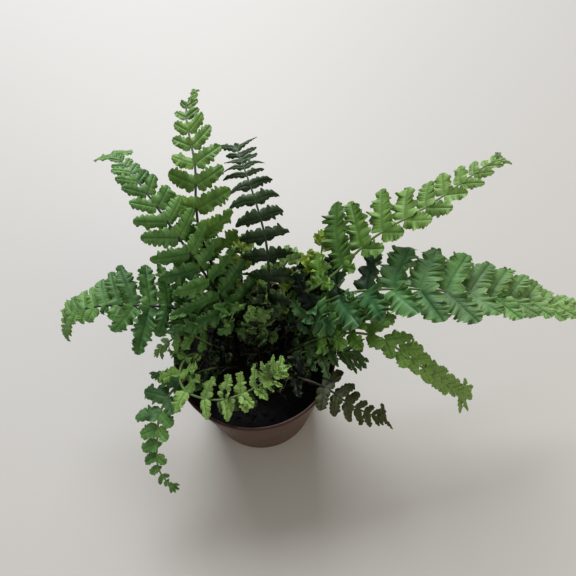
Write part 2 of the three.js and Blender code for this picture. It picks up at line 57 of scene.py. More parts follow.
# %% Camera
PICTURE = 576
FOCAL_PIXELS = 500
SENSOR = 36
PITCH = radians(58)
LEAN = radians(-0.94)
EYE = Vector((18.8, -118.4, 330.8)) * MM

forward = Vector((0, cos(PITCH), -sin(PITCH)))
level = Vector((1, 0, 0))
upright = level.cross(forward)
right = level * cos(LEAN) + upright * sin(LEAN)
top = upright * cos(LEAN) - level * sin(LEAN)


def place_object(name, data):
    made = bpy.data.objects.new(name, data)
    bpy.context.scene.collection.objects.link(made)
    return made


camera = place_object("camera", bpy.data.cameras.new("camera"))
camera.data.sensor_width = SENSOR
camera.data.lens = FOCAL_PIXELS / PICTURE * SENSOR
turn = Matrix((right, top, -forward)).transposed()
camera.matrix_world = Matrix.Translation(EYE) @ turn.to_4x4()
bpy.context.scene.camera = camera
print("lens:", round(camera.data.lens, 2), "mm")


# %% [markdown]
# ## Colours and nodes
# Colours are written as the hex values that a screen shows, and one function turns them into the
# linear values that light adds up in. A second small function adds any shader node with its
# settings and its links, so that a material reads as a short list. A node that is given as an input
# stands for its first output.

# %% Helpers for materials
def linear(code):
    shares = [int(code[i:i + 2], 16) / 255 for i in (1, 3, 5)]
    return tuple(c / 12.92 if c <= 0.04045 else ((c + 0.055) / 1.055) ** 2.4 for c in shares) + (1,)


def add(tree, kind, inputs=None, **settings):
    made = tree.nodes.new("ShaderNode" + kind)
    for name, value in settings.items():
        setattr(made, name, value)
    for socket, value in (inputs or {}).items():
        if isinstance(value, bpy.types.Node):
            value = value.outputs[0]
        if isinstance(value, bpy.types.NodeSocket):
            tree.links.new(value, made.inputs[socket])
        else:
            made.inputs[socket].default_value = value
    return made


def start_material(name):
    material = bpy.data.materials.new(name)
    material.use_nodes = True
    material.node_tree.nodes.clear()
    return material, material.node_tree


# %% [markdown]
# ## Light and floor
# The plant stands on a pale table in the light of a cloudy window behind it and to its left. The
# world lights the scene evenly from all round. One large soft lamp at the back is the window: it
# gives the leaves their gloss and the pot its pale left side. A weak warm one stands for the room.
# The table has smooth paint with a dull sheen, so the shadows on it stay soft and plain.

# %% World
SKY = "#f0f0ee"
SKY_STRENGTH = 0.42
world = bpy.data.worlds.new("daylight")
bpy.context.scene.world = world
world.use_nodes = True
world.node_tree.nodes["Background"].inputs["Color"].default_value = linear(SKY)
world.node_tree.nodes["Background"].inputs["Strength"].default_value = SKY_STRENGTH
bpy.context.scene.view_settings.view_transform = "Standard"
bpy.context.scene.view_settings.look = "Medium High Contrast"
print("world:", world.name, SKY, SKY_STRENGTH)

# %% Lamps
AIM = Vector((0, 0, 0.08))
LAMPS = {
    "window": ("#f8faff", 34, 1.1, (-0.28, 1.2, 1.45)),
    "room": ("#ffe9c8", 2.7, 0.8, (0.8, -0.6, 0.9)),
}
for name, (colour, watts, width, place) in LAMPS.items():
    lamp = place_object(name, bpy.data.lights.new(name, "AREA"))
    lamp.data.color = linear(colour)[:3]
    lamp.data.energy = watts
    lamp.data.size = width
    lamp.location = place
    lamp.rotation_euler = (AIM - lamp.location).to_track_quat("-Z", "Y").to_euler()
    print(name, "lamp:", watts, "W,", width, "m wide")

# %% Table
HALF_TABLE = 3
floor_mesh = bpy.data.meshes.new("table_top")
corners = [(x * HALF_TABLE, y * HALF_TABLE, 0) for x, y in ((-1, -1), (1, -1), (1, 1), (-1, 1))]
floor_mesh.from_pydata(corners, [], [(0, 1, 2, 3)])
floor = place_object("table_top", floor_mesh)
material, tree = start_material("pale painted table")
shader = add(tree, "BsdfPrincipled", {"Base Color": linear("#bbb9b5"), "Roughness": 0.6})
add(tree, "OutputMaterial", {"Surface": shader})
floor_mesh.materials.append(material)
print("table:", 2 * HALF_TABLE, "m wide,", material.name)


# %% [markdown]
# ## Gathering a piece
# A frond is one piece made from many small closed shells: a stalk, leaflets and scales. Each shell
# adds its corners and faces to a list, and at the end the list becomes one mesh. Two vectors go with
# every corner for the leaf and stalk materials. "leaf" holds the count of side veins so far and the
# place across the leaflet from -1 to 1. "plant" holds the place along the frond, how dark the
# leaflet is, and 1 on the upper face. Each face is of one of the piece's materials.

# %% Gathering corners and faces
FIRST, SECOND, THIRD = 0, 1, 2
SMOOTH_BELOW = radians(55)


class Gather:
    def __init__(self):
        self.points, self.faces, self.kinds, self.leaf, self.plant = [], [], [], [], []
        self.count = 0

    def add(self, points, faces, kind, leaf=None, plant=None):
        blank = np.zeros((len(points), 3))
        self.points.append(points)
        self.faces += [tuple(corner + self.count for corner in face) for face in faces]
        self.kinds += [kind] * len(faces)
        self.leaf.append(blank if leaf is None else leaf)
        self.plant.append(blank if plant is None else plant)
        self.count += len(points)

    def add_rings(self, rings, kind, plant=None):
        count, sides, _ = rings.shape
        last = (count - 1) * sides
        faces = []
        for ring in range(0, last, sides):
            for side in range(sides):
                a, b = ring + side, ring + (side + 1) % sides
                faces.append((a, b, b + sides, a + sides))
        faces += [range(sides)[::-1], range(last, last + sides)]
        self.add(rings.reshape(-1, 3), faces, kind, None, plant)

    def mesh(self, name):
        made = bpy.data.meshes.new(name)
        made.from_pydata((np.vstack(self.points) * MM).tolist(), [], self.faces)
        return made

    def piece(self, name, node, materials):
        mesh = self.mesh(name)
        mesh.polygons.foreach_set("material_index", self.kinds)
        mesh.polygons.foreach_set("use_smooth", [True] * len(self.faces))
        for label, values in (("leaf", self.leaf), ("plant", self.plant)):
            held = mesh.attributes.new(label, "FLOAT_VECTOR", "POINT")
            held.data.foreach_set("vector", np.vstack(values).astype(np.float32).ravel())
        mesh.set_sharp_from_angle(angle=SMOOTH_BELOW)
        for material in materials:
            mesh.materials.append(material)
        made = place_object(name, mesh)
        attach(made, "root")
        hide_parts(node)
        return made


# %% Rings round a line and round the pot's axis
def tube(centres, rights, ups, radii, sides):
    turns = np.arange(sides) * 2 * pi / sides
    ring = (np.cos(turns)[None, :, None] * rights[:, None, :]
            + np.sin(turns)[None, :, None] * ups[:, None, :])
    return centres[:, None, :] + ring * radii[:, None, None]


def lathe(profile, sides):
    turns = np.arange(sides) * 2 * pi / sides
    radius, height = np.array(profile, float).T
    return np.stack([np.outer(radius, np.cos(turns)), np.outer(radius, np.sin(turns)),
                     np.repeat(height[:, None], sides, 1)], -1)


# %% [markdown]
# ## The fronds' routes
# Each frond's route is the one that its solid follows, in millimetres: points from the soil to the
# tip. Next to it stand the share of bare stalk, the number of leaflet pairs, the longest leaflet,
# the length of the first and last pair as a share of it, how wide the leaflets are for the room
# they have, at foot and tip, how far they bend down, the frond's turn about its stalk, and the size
# of the crested tip. "right" and "left" say how the leaflets of one side stand: their angle to the
# stalk at foot and tip, their lift above its plane, and their sizes, evenly spaced from foot to tip.

# %% Table of fronds
GROWN = {
    "frond_right_long": dict(
        slot="leaf_blue_green", bare=0.22, pairs=14, leaflet=25, first=0.75, last=0.34,
        width=(1.2, 1.1), droop=0.16, roll=(4, 10), crest=10,
        right=(72, 44, 26, 1.15, 0.93, 1.05), left=(86, 30, 14, 1.2, 1, 0.65),
        route=[(9, 3, 70), (26, 9, 98), (48, 14, 112), (75, 13, 118), (105, 11, 117), (138, 12, 108),
               (183, 14, 92)]),
    "frond_right_upper": dict(
        slot="leaf_light_green", bare=0.24, pairs=12, leaflet=23, first=1.05, last=0.3,
        width=(1.45, 0.85), droop=0.1, roll=(6, 0), crest=12,
        right=(56, 36, 14, 0.3, 0.7, 0.85),
        left=(66, 44, 10, 0.6, 0.7, 1.55, 1.15, 1.1, 0.92, 0.76, 0.7, 0.66, 0.62, 0.58, 0.55),
        route=[(6, 8, 70), (21, 17, 98), (41, 23, 115), (63, 36, 131), (90, 47, 142), (119, 66, 148),
               (136, 77, 147)]),
    "frond_back_left": dict(
        slot="leaf_mid_green", bare=0.24, pairs=14, leaflet=24, first=1.05, last=0.3,
        width=(1.15, 0.95), droop=0.2, roll=(0, 6), crest=13,
        right=(80, 44, 12, 0.95, 0.66, 0.45), left=(66, 44, 10, 1.25, 0.7, 0.65),
        route=[(-6, 6, 70), (-12, 11, 100), (-19, 17, 117), (-31, 26, 142), (-48, 46, 157),
               (-63, 66, 157), (-76, 76, 152)]),
    "frond_back_tall": dict(
        slot="leaf_light_green", bare=0.28, pairs=12, leaflet=18, first=1.05, last=0.2,
        width=(1, 0.72), droop=0.16, crest=6,
        right=(78, 42, 10, 1.05, 1.1, 0.9), left=(80, 40, 10, 1.05, 0.82, 0.45),
        route=[(-3, 10, 70), (-15, 23, 98), (-24, 36, 130), (-26, 48, 143), (-27, 68, 151),
               (-34, 103, 155), (-31, 128, 152)]),
    "frond_back_dark": dict(
        slot="leaf_dark_green", bare=0.34, pairs=9, leaflet=13, first=0.9, last=0.85,
        width=(1.15, 0.9), droop=0.42, crest=20,
        right=(86, 62, 10, 1, 1, 1), left=(90, 62, 10, 1.1, 1, 1),
        route=[(2, 11, 70), (7, 15, 100), (9, 21, 115), (8, 35, 131), (2, 54, 145),
               (-9, 88, 151)]),
    "frond_left": dict(
        slot="leaf_mid_green", bare=0.26, pairs=15, leaflet=20, first=1, last=0.3,
        width=(1.25, 0.85), droop=0.25, roll=(-12, -16), crest=8,
        right=(80, 44, 10, 1.35, 1.3, 0.9, 0.85, 0.8),
        left=(84, 50, 10, 0.6, 0.75, 0.8, 1.3, 0.85, 0.45, 0.25, 0.5, 0.5, 0.6, 0.75, 0.8, 0.8, 0.8,
              0.8),
        route=[(-10, 2, 70), (-23, 9, 94), (-38, 10, 106), (-57, 10, 111), (-82, 13, 105),
               (-102, 16, 90), (-112, 12, 68)]),
    "frond_right_lower": dict(
        slot="leaf_light_green", bare=0.25, pairs=13, leaflet=14, first=0.95, last=0.8,
        width=(1.6, 1.4), droop=0.2, roll=(6, 10), crest=15,
        right=(52, 30, 16, 0.9, 0.6, 0.8), left=(56, 30, 12, 1.45, 0.85, 1.05),
        route=[(11, -3, 70), (33, -2, 93), (48, -3, 102), (65, -8, 105), (84, -18, 95),
               (104, -23, 77), (122, -27, 63)]),
    "frond_front_fresh": dict(
        slot="leaf_light_green", bare=0.3, pairs=9, leaflet=13, first=0.8, last=0.8,
        width=(0.75, 0.85), droop=0.2, roll=(0, 12), crest=10,
        right=(80, 54, 10, 0.95, 0.8, 0.7), left=(84, 60, 32, 1, 1, 1.05),
        route=[(-12, -7, 70), (-31, -6, 86), (-37, -17, 92), (-33, -29, 92), (-16, -33, 90),
               (3, -26, 90), (20, -13, 92)]),
    "frond_trailing": dict(
        slot="leaf_mid_green", bare=0.3, pairs=10, leaflet=13, first=1, last=0.3,
        width=(1.25, 0.9), droop=0.15, roll=(0, 10), crest=7,
        right=(76, 44, 10, 1.4, 0.9, 0.7), left=(70, 40, 10, 0.85, 0.7, 0.65),
        route=[(-7, -8, 70), (-23, -13, 82), (-38, -22, 85), (-47, -34, 81), (-50, -47, 71),
               (-50, -60, 59), (-41, -69, 49)]),
    "frond_right_small": dict(
        slot="leaf_olive", bare=0.5, pairs=7, leaflet=12, first=0.95, last=0.5,
        width=(0.85, 0.75), droop=0.15, crest=12,
        right=(80, 48, 10, 1, 0.85, 0.8), left=(66, 40, 10, 1.1, 0.8, 0.75),
        route=[(8, -9, 70), (22, -19, 84), (37, -26, 86), (51, -33, 78), (65, -36, 68),
               (76, -35, 59)]),
    "frond_left_curled": dict(
        slot="leaf_mid_green", bare=0.45, pairs=5, leaflet=10, first=0.9, last=0.6,
        width=(0.9, 0.9), droop=0.5, crest=6,
        route=[(-10, -3, 70), (-23, 0, 84), (-34, 2, 93), (-42, 0, 93), (-55, -6, 84)]),
    "frond_front_dark": dict(
        slot="leaf_dark_green", bare=0.35, pairs=6, leaflet=16, first=0.9, last=0.8,
        width=(1.4, 1.3), droop=0.2, crest=14,
        route=[(13, -7, 70), (27, -5, 84), (43, -7, 90), (62, -11, 83)]),
}
HABIT = dict(roll=(0, 0), right=(80, 48, 10, 1, 1, 1), left=(80, 48, 10, 1, 1, 1))
YOUNG_HABIT = dict(HABIT, bare=0.3, pairs=4, first=0.85, last=0.6, width=(1, 1), droop=0.25, crest=8)
YOUNG = [
    ("leaf_mid_green", 15, [(-16, 7, 70), (-23, 12, 92), (-33, 18, 102), (-45, 25, 104)]),
    ("leaf_mid_green", 17, [(-9, 14, 70), (-21, 24, 96), (-26, 40, 110), (-27, 59, 116)]),
    ("leaf_yellow_green", 16, [(-3, 15, 70), (-5, 20, 98), (-6, 34, 112), (-5, 52, 117)]),
    ("leaf_blue_green", 14, [(3, 16, 70), (5, 18, 96), (14, 28, 110), (25, 42, 117)]),
    ("leaf_yellow_green", 10, [(9, 14, 70), (17, 22, 98), (35, 34, 112), (38, 52, 121)]),
    ("leaf_near_black", 13, [(13, 10, 70), (20, 18, 90), (29, 26, 100), (40, 37, 102)]),
    ("leaf_blue_green", 14, [(15, 5, 70), (18, 12, 86), (26, 16, 93), (38, 20, 96)]),
    ("leaf_light_green", 14, [(18, 0, 70), (29, 3, 84), (41, 5, 90), (53, 5, 92)]),
    ("leaf_mid_green", 13, [(3, -10, 70), (2, 3, 84), (2, 7, 96), (-1, 13, 106)]),
    ("leaf_mid_green", 15, [(-12, 9, 70), (-11, 12, 92), (-16, 18, 102), (-25, 23, 106)]),
    ("leaf_dark_green", 10, [(4, -14, 70), (4, -11, 76), (9, -18, 79), (15, -26, 77)]),
    ("leaf_dark_green", 10, [(12, -14, 70), (17, -12, 76), (24, -15, 80), (31, -20, 80)]),
    ("leaf_mid_green", 14, [(18, 8, 70), (30, 9, 88), (43, 14, 100), (54, 20, 104)]),
]
FRONDS = {node: {**HABIT, **habit} for node, habit in GROWN.items()}
for order, (slot, longest, route) in enumerate(YOUNG):
    FRONDS[f"young_frond_{order + 1:02d}"] = dict(YOUNG_HABIT, slot=slot, leaflet=longest, route=route)
print("fronds:", len(FRONDS))

# %% [markdown]
# ## Walking along a stalk
# A smooth curve runs through the route's points. At any distance along it, a station gives the
# middle of the stalk, the direction ahead, the direction to the right, what is up, and the radius.

# %% Stations on a stalk
STEPS = 200
CREST_BEYOND = 0.9
STALK_FOOT = 0.9
STALK_TIP = 0.4
UP = np.array([0.0, 0.0, 1.0])


def unit(vectors):
    return vectors / np.linalg.norm(vectors, axis=-1, keepdims=True)


class Stalk:
    def __init__(self, route, crest, roll):
        corners = np.array(route, float)
        ends = 2 * corners[0] - corners[1], 2 * corners[-1] - corners[-2]
        corners = np.vstack([ends[0], corners, ends[1]])
        place = np.linspace(0, len(route) - 1, STEPS + 1)
        span = np.minimum(place.astype(int), len(route) - 2)
        t = (place - span)[:, None]
        p0, p1, p2, p3 = (corners[span + k] for k in range(4))
        leave, arrive = 0.5 * (p2 - p0), 0.5 * (p3 - p1)
        self.centre = (p1 + leave * t + (3 * (p2 - p1) - 2 * leave - arrive) * t ** 2
                       + (2 * (p1 - p2) + leave + arrive) * t ** 3)
        index = np.arange(STEPS + 1)
        before = self.centre[np.maximum(index - 1, 0)]
        self.ahead = unit(self.centre[np.minimum(index + 1, STEPS)] - before)
        self.side = unit(np.cross(self.ahead, UP))
        self.distance = np.cumsum(np.linalg.norm(self.centre - before, axis=1))
        self.length = self.distance[-1] - CREST_BEYOND * crest
        self.roll = np.radians(roll)

    def station(self, distance):
        after = int(np.clip(np.searchsorted(self.distance, distance), 1, STEPS))
        first, last = self.distance[after - 1], self.distance[after]
        share = min(max((distance - first) / (last - first), 0), 1)
        mix = [a[after - 1] + (a[after] - a[after - 1]) * share
               for a in (self.centre, self.ahead, self.side)]
        centre, ahead, side = mix[0], unit(mix[1]), unit(mix[2])
        along = distance / self.length
        roll = self.roll[0] + (self.roll[1] - self.roll[0]) * along
        side = side * cos(roll) + np.cross(ahead, side) * sin(roll)
        up = np.cross(side, ahead)
        return centre, ahead, side, up, STALK_FOOT + (STALK_TIP - STALK_FOOT) * along

    def stations(self, distances):
        found = [self.station(distance) for distance in distances]
        return [np.array([station[k] for station in found]) for k in (0, 2, 3, 4)]


# %% [markdown]
# ## Planning the leaflets
# Leaflets stand in pairs that grow closer towards the tip. Each strays a little by chance in its
# angle, lift, twist and length. The solids were grown by the same rule and tried several lifts and
# lengths until a leaflet was clear of its neighbours, so each leaflet here looks for the try whose
# tip is a corner of its solid, and takes the same. A leaflet that the solids have no room for takes
# the first try. These chance numbers come from the same small generator as the solids' own.

# %% Chance as the solids draw it
def draws(seed):
    state = (seed * 2654435761) % 2 ** 32
    while True:
        state = (state * 1664525 + 1013904223) % 2 ** 32
        yield state / 2 ** 31 - 1


# %% Where each leaflet stands
BLADE = 0.6
LAST_PAIR = 3
CROWDING = 1.3
FULL_SIZE_FROM = 0.3
TAPER = 1.8
TWIST = 20
SLIM = 0.4
STRAY = {"angle": 5, "lift": 8, "twist": 6, "length": 0.08}


def plan_leaflets(habit, stalk, seed):
    pairs, first, last = habit["pairs"], habit["first"], habit["last"]
    draw = draws(seed)
    start, end = stalk.length * habit["bare"], stalk.length - LAST_PAIR
    shares = [pair / (pairs - 1) for pair in range(pairs)]
    places = [start + (end - start) * (1 - (1 - share) ** CROWDING) for share in shares]
    planned = []
    for pair, (share, distance) in enumerate(zip(shares, places)):
        centre, ahead, side, up, radius = stalk.station(distance)
        room = places[pair + 1] - distance if pair < pairs - 1 else distance - places[pair - 1]
        natural = (habit["leaflet"] * (first + (1 - first) * min(1, share / FULL_SIZE_FROM))
                   * (1 - (1 - last) * share ** TAPER))
        wide = habit["width"][0] + (habit["width"][1] - habit["width"][0]) * share
        for hand, side_habit in ((1, habit["right"]), (-1, habit["left"])):
            angle_low, angle_high, raised, *sizes = side_habit
            angle = angle_low + (angle_high - angle_low) * share + STRAY["angle"] * next(draw)
            angle = radians(angle)
            lift = raised + STRAY["lift"] * next(draw)
            size = float(np.interp(share * (len(sizes) - 1), range(len(sizes)), sizes))
            twist = radians(TWIST + STRAY["twist"] * next(draw))
            length = natural * size * (1 + STRAY["length"] * next(draw))
            level = ahead * sin(angle) - side * hand * cos(angle)
            planned.append(dict(
                place=distance / stalk.length, hand=hand, lift=lift, length=length, up=up,
                droop=habit["droop"], root=centre + side * hand * radius + up * BLADE / 2,
                out=ahead * cos(angle) + side * hand * sin(angle),
                across=level * cos(twist) + up * sin(twist),
                width=min(0.5 * room * sin(angle) * wide, SLIM * length),
            ))
    return planned


# %% The try that a solid leaflet took
KEPT_WIDTH = 0.25
TRIES = [(0, 1), (18, 1), (-18, 1), (32, 0.9), (-32, 0.9), (0, 0.75), (24, 0.75), (-24, 0.7),
         (0, 0.5), (36, 0.5), (-36, 0.5), (0, 0.3)]
SAME_CORNER = 0.05 * MM


def grown(planned, extra_lift, size):
    return {**planned, "length": planned["length"] * size,
            "lift": radians(planned["lift"] + extra_lift),
            "width": planned["width"] * min(1, size + KEPT_WIDTH)}


def rib(blade, share):
    share = np.asarray(share, float)[..., None]
    return (blade["root"] + blade["out"] * blade["length"] * share * cos(blade["lift"])
            + blade["up"] * blade["length"] * (share * sin(blade["lift"])
                                               - blade["droop"] * share ** 2))


def as_solid(planned, corners):
    for extra_lift, size in TRIES:
        blade = grown(planned, extra_lift, size)
        if corners.find(rib(blade, 1) * MM)[2] < SAME_CORNER:
            return blade, True
    return grown(planned, *TRIES[0]), False


def corners_of(node):
    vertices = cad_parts[node].data.vertices
    tree = kdtree.KDTree(len(vertices))
    for vertex in vertices:
        tree.insert(vertex.co, vertex.index)
    tree.balance()
    return tree


# %% [markdown]
# ## One leaflet
# A wood fern's leaflet is a thin blade with a midrib and a side vein into each rounded lobe. The
# rows of corners follow the side veins, which slant towards the tip, and rows between lobes are
# shorter and make the notches. Each half of the blade is bent like a piece of a roll: a positive
# bend turns its edge down, and every lobe adds a chance bend of its own, which is what makes the
# leaf crisped. The blade is also raised between the veins, and a second face closes it below.
# FINE and COARSE give the rows in each lobe, and the corners from the midrib to the edge. In the
# cells below, "phase" counts the lobes up to a row, "share" is the row's place along the leaflet,
# and "t" is a corner's place across it, from -1 to 1.

# %% Rows and corners of a leaflet
LOBE_PITCH = 2.9
FINE = ((0, 0.12, 0.32, 0.5, 0.68, 0.88), (0, 0.12, 0.34, 0.62, 0.88, 1))
COARSE = ((0, 0.2, 0.5, 0.8), (0, 0.3, 0.72, 1))
END_LOBE = 0.5
END_ROWS = (0, 0.12, 0.25, 0.38, 0.47)


def leaflet_grid(length, net):
    steps, half = net
    lobes = max(2, round(length / LOBE_PITCH))
    phase = np.array([lobe + step for lobe in range(lobes) for step in steps]
                     + [lobes + step for step in END_ROWS])
    t = np.array([-step for step in half[:0:-1]] + list(half))[None, :]
    return phase, phase / (lobes + END_LOBE), t


def by_lobe(phase, t, chance):
    lobe = phase.astype(int)
    values = chance.normal(size=(lobe[-1] + 1, 2))
    return np.where(t < 0, values[lobe, :1], values[lobe, 1:])


# %% Edges of a leaflet
FOOT_SHARE = 0.3
LOBE_CHANCE = 0.1
NARROWEST = 0.25


def edges(width, look, phase, share, t, chance):
    outline = (np.minimum(1, look["base"] + share / FOOT_SHARE)
               * (1 - share ** look["blunt"]) ** 0.5)
    beat = phase % 1
    notch = 1 - look["notch"] * np.abs(2 * beat - 1) ** 3 - look["teeth"] * (np.arange(len(phase)) % 2)
    uneven = 1 + LOBE_CHANCE * by_lobe(phase, t, chance) * np.sin(pi * beat)[:, None]
    smooth_reach = np.maximum(outline * width, NARROWEST)[:, None]
    return smooth_reach, np.maximum(smooth_reach * notch[:, None] * uneven, NARROWEST)


# %% Bends and folds of a leaflet
RIPPLE_PACE = 0.8
MOST_BENT = (-2.4, 2.6)
WHOLE_CRISP = 0.4
FOLD_CHANCE = 0.1
QUILTING = 0.34
QUILTING_FADE = 0.6
GROOVE = 0.22
GROOVE_WIDTH = 0.35
ROOT_FLAT = 0.4


def bent_rows(look, phase, t, reach, chance):
    beat, wide = phase % 1, np.abs(t)
    wave = chance.uniform(0, 2 * pi)
    uneven = by_lobe(phase, t, chance) * np.sin(pi * beat)[:, None]
    bend = (look["bend"] + look["crisp"] * (uneven + WHOLE_CRISP * chance.normal())
            + look["ripple"] * wide * np.sin(RIPPLE_PACE * pi * phase + wave)[:, None])
    bend = np.clip(bend, *MOST_BENT) * wide
    flat = t * reach * np.sinc(bend / pi)
    drop = wide * reach * np.sin(bend / 2) * np.sinc(bend / 2 / pi)
    fold = look["fold"] + FOLD_CHANCE * chance.normal()
    part = 2 * np.minimum(beat, 1 - beat)
    between = (4 * part * (1 - part))[:, None]
    spread = flat * cos(fold) + np.sign(t) * drop * sin(fold)
    height = (np.abs(flat) * sin(fold) - drop * cos(fold)
              + QUILTING * between * wide ** 0.5 * (1 - QUILTING_FADE * wide)
              - GROOVE * np.exp(-(t * reach / GROOVE_WIDTH) ** 2))
    height[:2] *= ROOT_FLAT
    return spread, height


# %% Faces of a leaflet
def blade_faces(rows, columns, hand):
    high = np.arange(rows * columns).reshape(rows, columns)
    faces = []
    for cells, face in ((high, hand), (high + high.size, -hand)):
        quads = np.stack([cells[:-1, :-1], cells[1:, :-1], cells[1:, 1:], cells[:-1, 1:]], -1)
        faces.append(quads.reshape(-1, 4)[:, ::face])
    around = np.concatenate([high[:, 0], high[-1, 1:], high[-2::-1, -1], high[0, -2:0:-1]])
    following = np.roll(around, -1)
    rim = np.stack([around, around + high.size, following + high.size, following], -1)
    faces.append(rim[:, ::hand])
    return np.vstack(faces).tolist()


# %% Leaflet
SLANT = 0.5
SLANT_FROM = 0.25
RIB_THICK = 0.36
EDGE_THICK = 0.2
ROOT_INSET = 0.4


def leaflet(gather, blade, look, chance, net, shade):
    length, hand = blade["length"], blade["hand"]
    phase, share, t = leaflet_grid(length, net)
    wide = np.abs(t)
    smooth_reach, reach = edges(blade["width"] * look["broad"], look, phase, share, t, chance)
    spread, height = bent_rows(look, phase, t, reach, chance)

    twist = (look["twist"] * chance.normal() * share)[:, None]
    normal = np.cross(blade["out"], blade["across"]) * hand
    across = blade["across"] * np.cos(twist) + normal * np.sin(twist)
    sickle = (look["sickle"] + look["swing"] * chance.normal()) * length * share ** 2
    from_root = np.where(phase > 0, share, -ROOT_INSET / length)
    middle = rib(blade, from_root) + blade["across"] * sickle[:, None]
    slant = SLANT * (np.minimum(1, share / SLANT_FROM) * (1 - share) ** 0.4)[:, None]
    ahead = slant * wide * smooth_reach
    upper = (middle[:, None, :] + across[:, None, :] * spread[..., None]
             + blade["out"] * ahead[..., None] + normal * height[..., None])
    thick = RIB_THICK + (EDGE_THICK - RIB_THICK) * wide ** 2 + 0 * reach
    lower = upper - normal * thick[..., None]

    rows, columns = len(phase), t.shape[1]
    # The mark is a chance tone plus the painted shade given to the leaflet.
    mark = chance.uniform() + shade + look["shade"]
    leaf = np.stack(np.broadcast_arrays(phase[:, None], t, 0.0), -1).reshape(-1, 3)
    plant = np.tile([blade["place"] * look["pale_tip"], mark, 1.0], (rows * columns, 1))
    gather.add(np.vstack([upper.reshape(-1, 3), lower.reshape(-1, 3)]), blade_faces(rows, columns, hand),
               FIRST, np.vstack([leaf, leaf]), np.vstack([plant, plant * [1, 1, 0]]))


# %% [markdown]
# ## Leaf
# Living fern lamina is a thin waxy skin over green tissue. It is satin, a little translucent, and
# darker along the sunken veins. The clefts between the lobes get a painted shade. The tip of the
# frond is lighter, partly for its paler young green and partly as a painted sheen of the window, and
# the edges of the leaflets are lighter. The leaflets deep inside the plant get a painted shade that
# makes them the darkest. The underside is paler. The veins are drawn about half a millimetre wide,
# some of them twice their real width, so that they show in the picture. The hex values of each leaf
# are its fresh green, its shaded green, its veins, whose colour also paints the shade in the clefts,
# and its tip, a paler young green with a painted sheen.

# %% Leaf colours and sizes
LEAF_COLOURS = {
    "leaf_blue_green": ("#629054", "#375d38", "#3c654a", "#99b46e"),
    "leaf_light_green": ("#759a47", "#4c7030", "#4a6f33", "#92ae68"),
    "leaf_mid_green": ("#6c9550", "#406a3a", "#355a30", "#86a55f"),
    "leaf_dark_green": ("#2c4524", "#152712", "#112111", "#5f7d4d"),
    # The olive leaf's dark green is partly its own and partly painted shade, for a frond hanging in
    # shade below the rim.
    "leaf_olive": ("#333b14", "#1f240a", "#1b200a", "#4a5220"),
    "leaf_yellow_green": ("#7d9b3c", "#4f7030", "#54752f", "#9fb052"),
    "leaf_near_black": ("#1c281b", "#0d140d", "#0a100b", "#26331f"),
}
UNDERSIDE = "#a3b486"
DEEP_SHADE = "#0a120b"
UNDERSIDE_SHARE = 0.3
PATCH = 7 * MM
GRAIN = 0.5 * MM
GRAIN_DEPTH = 0.1 * MM
EDGE_LIGHT = 0.2
TIP_LIGHT = 0.6
CLEFT_SHADE = 0.55
VEIN_DARK = 0.35
MIDRIB_DARK = 0.45


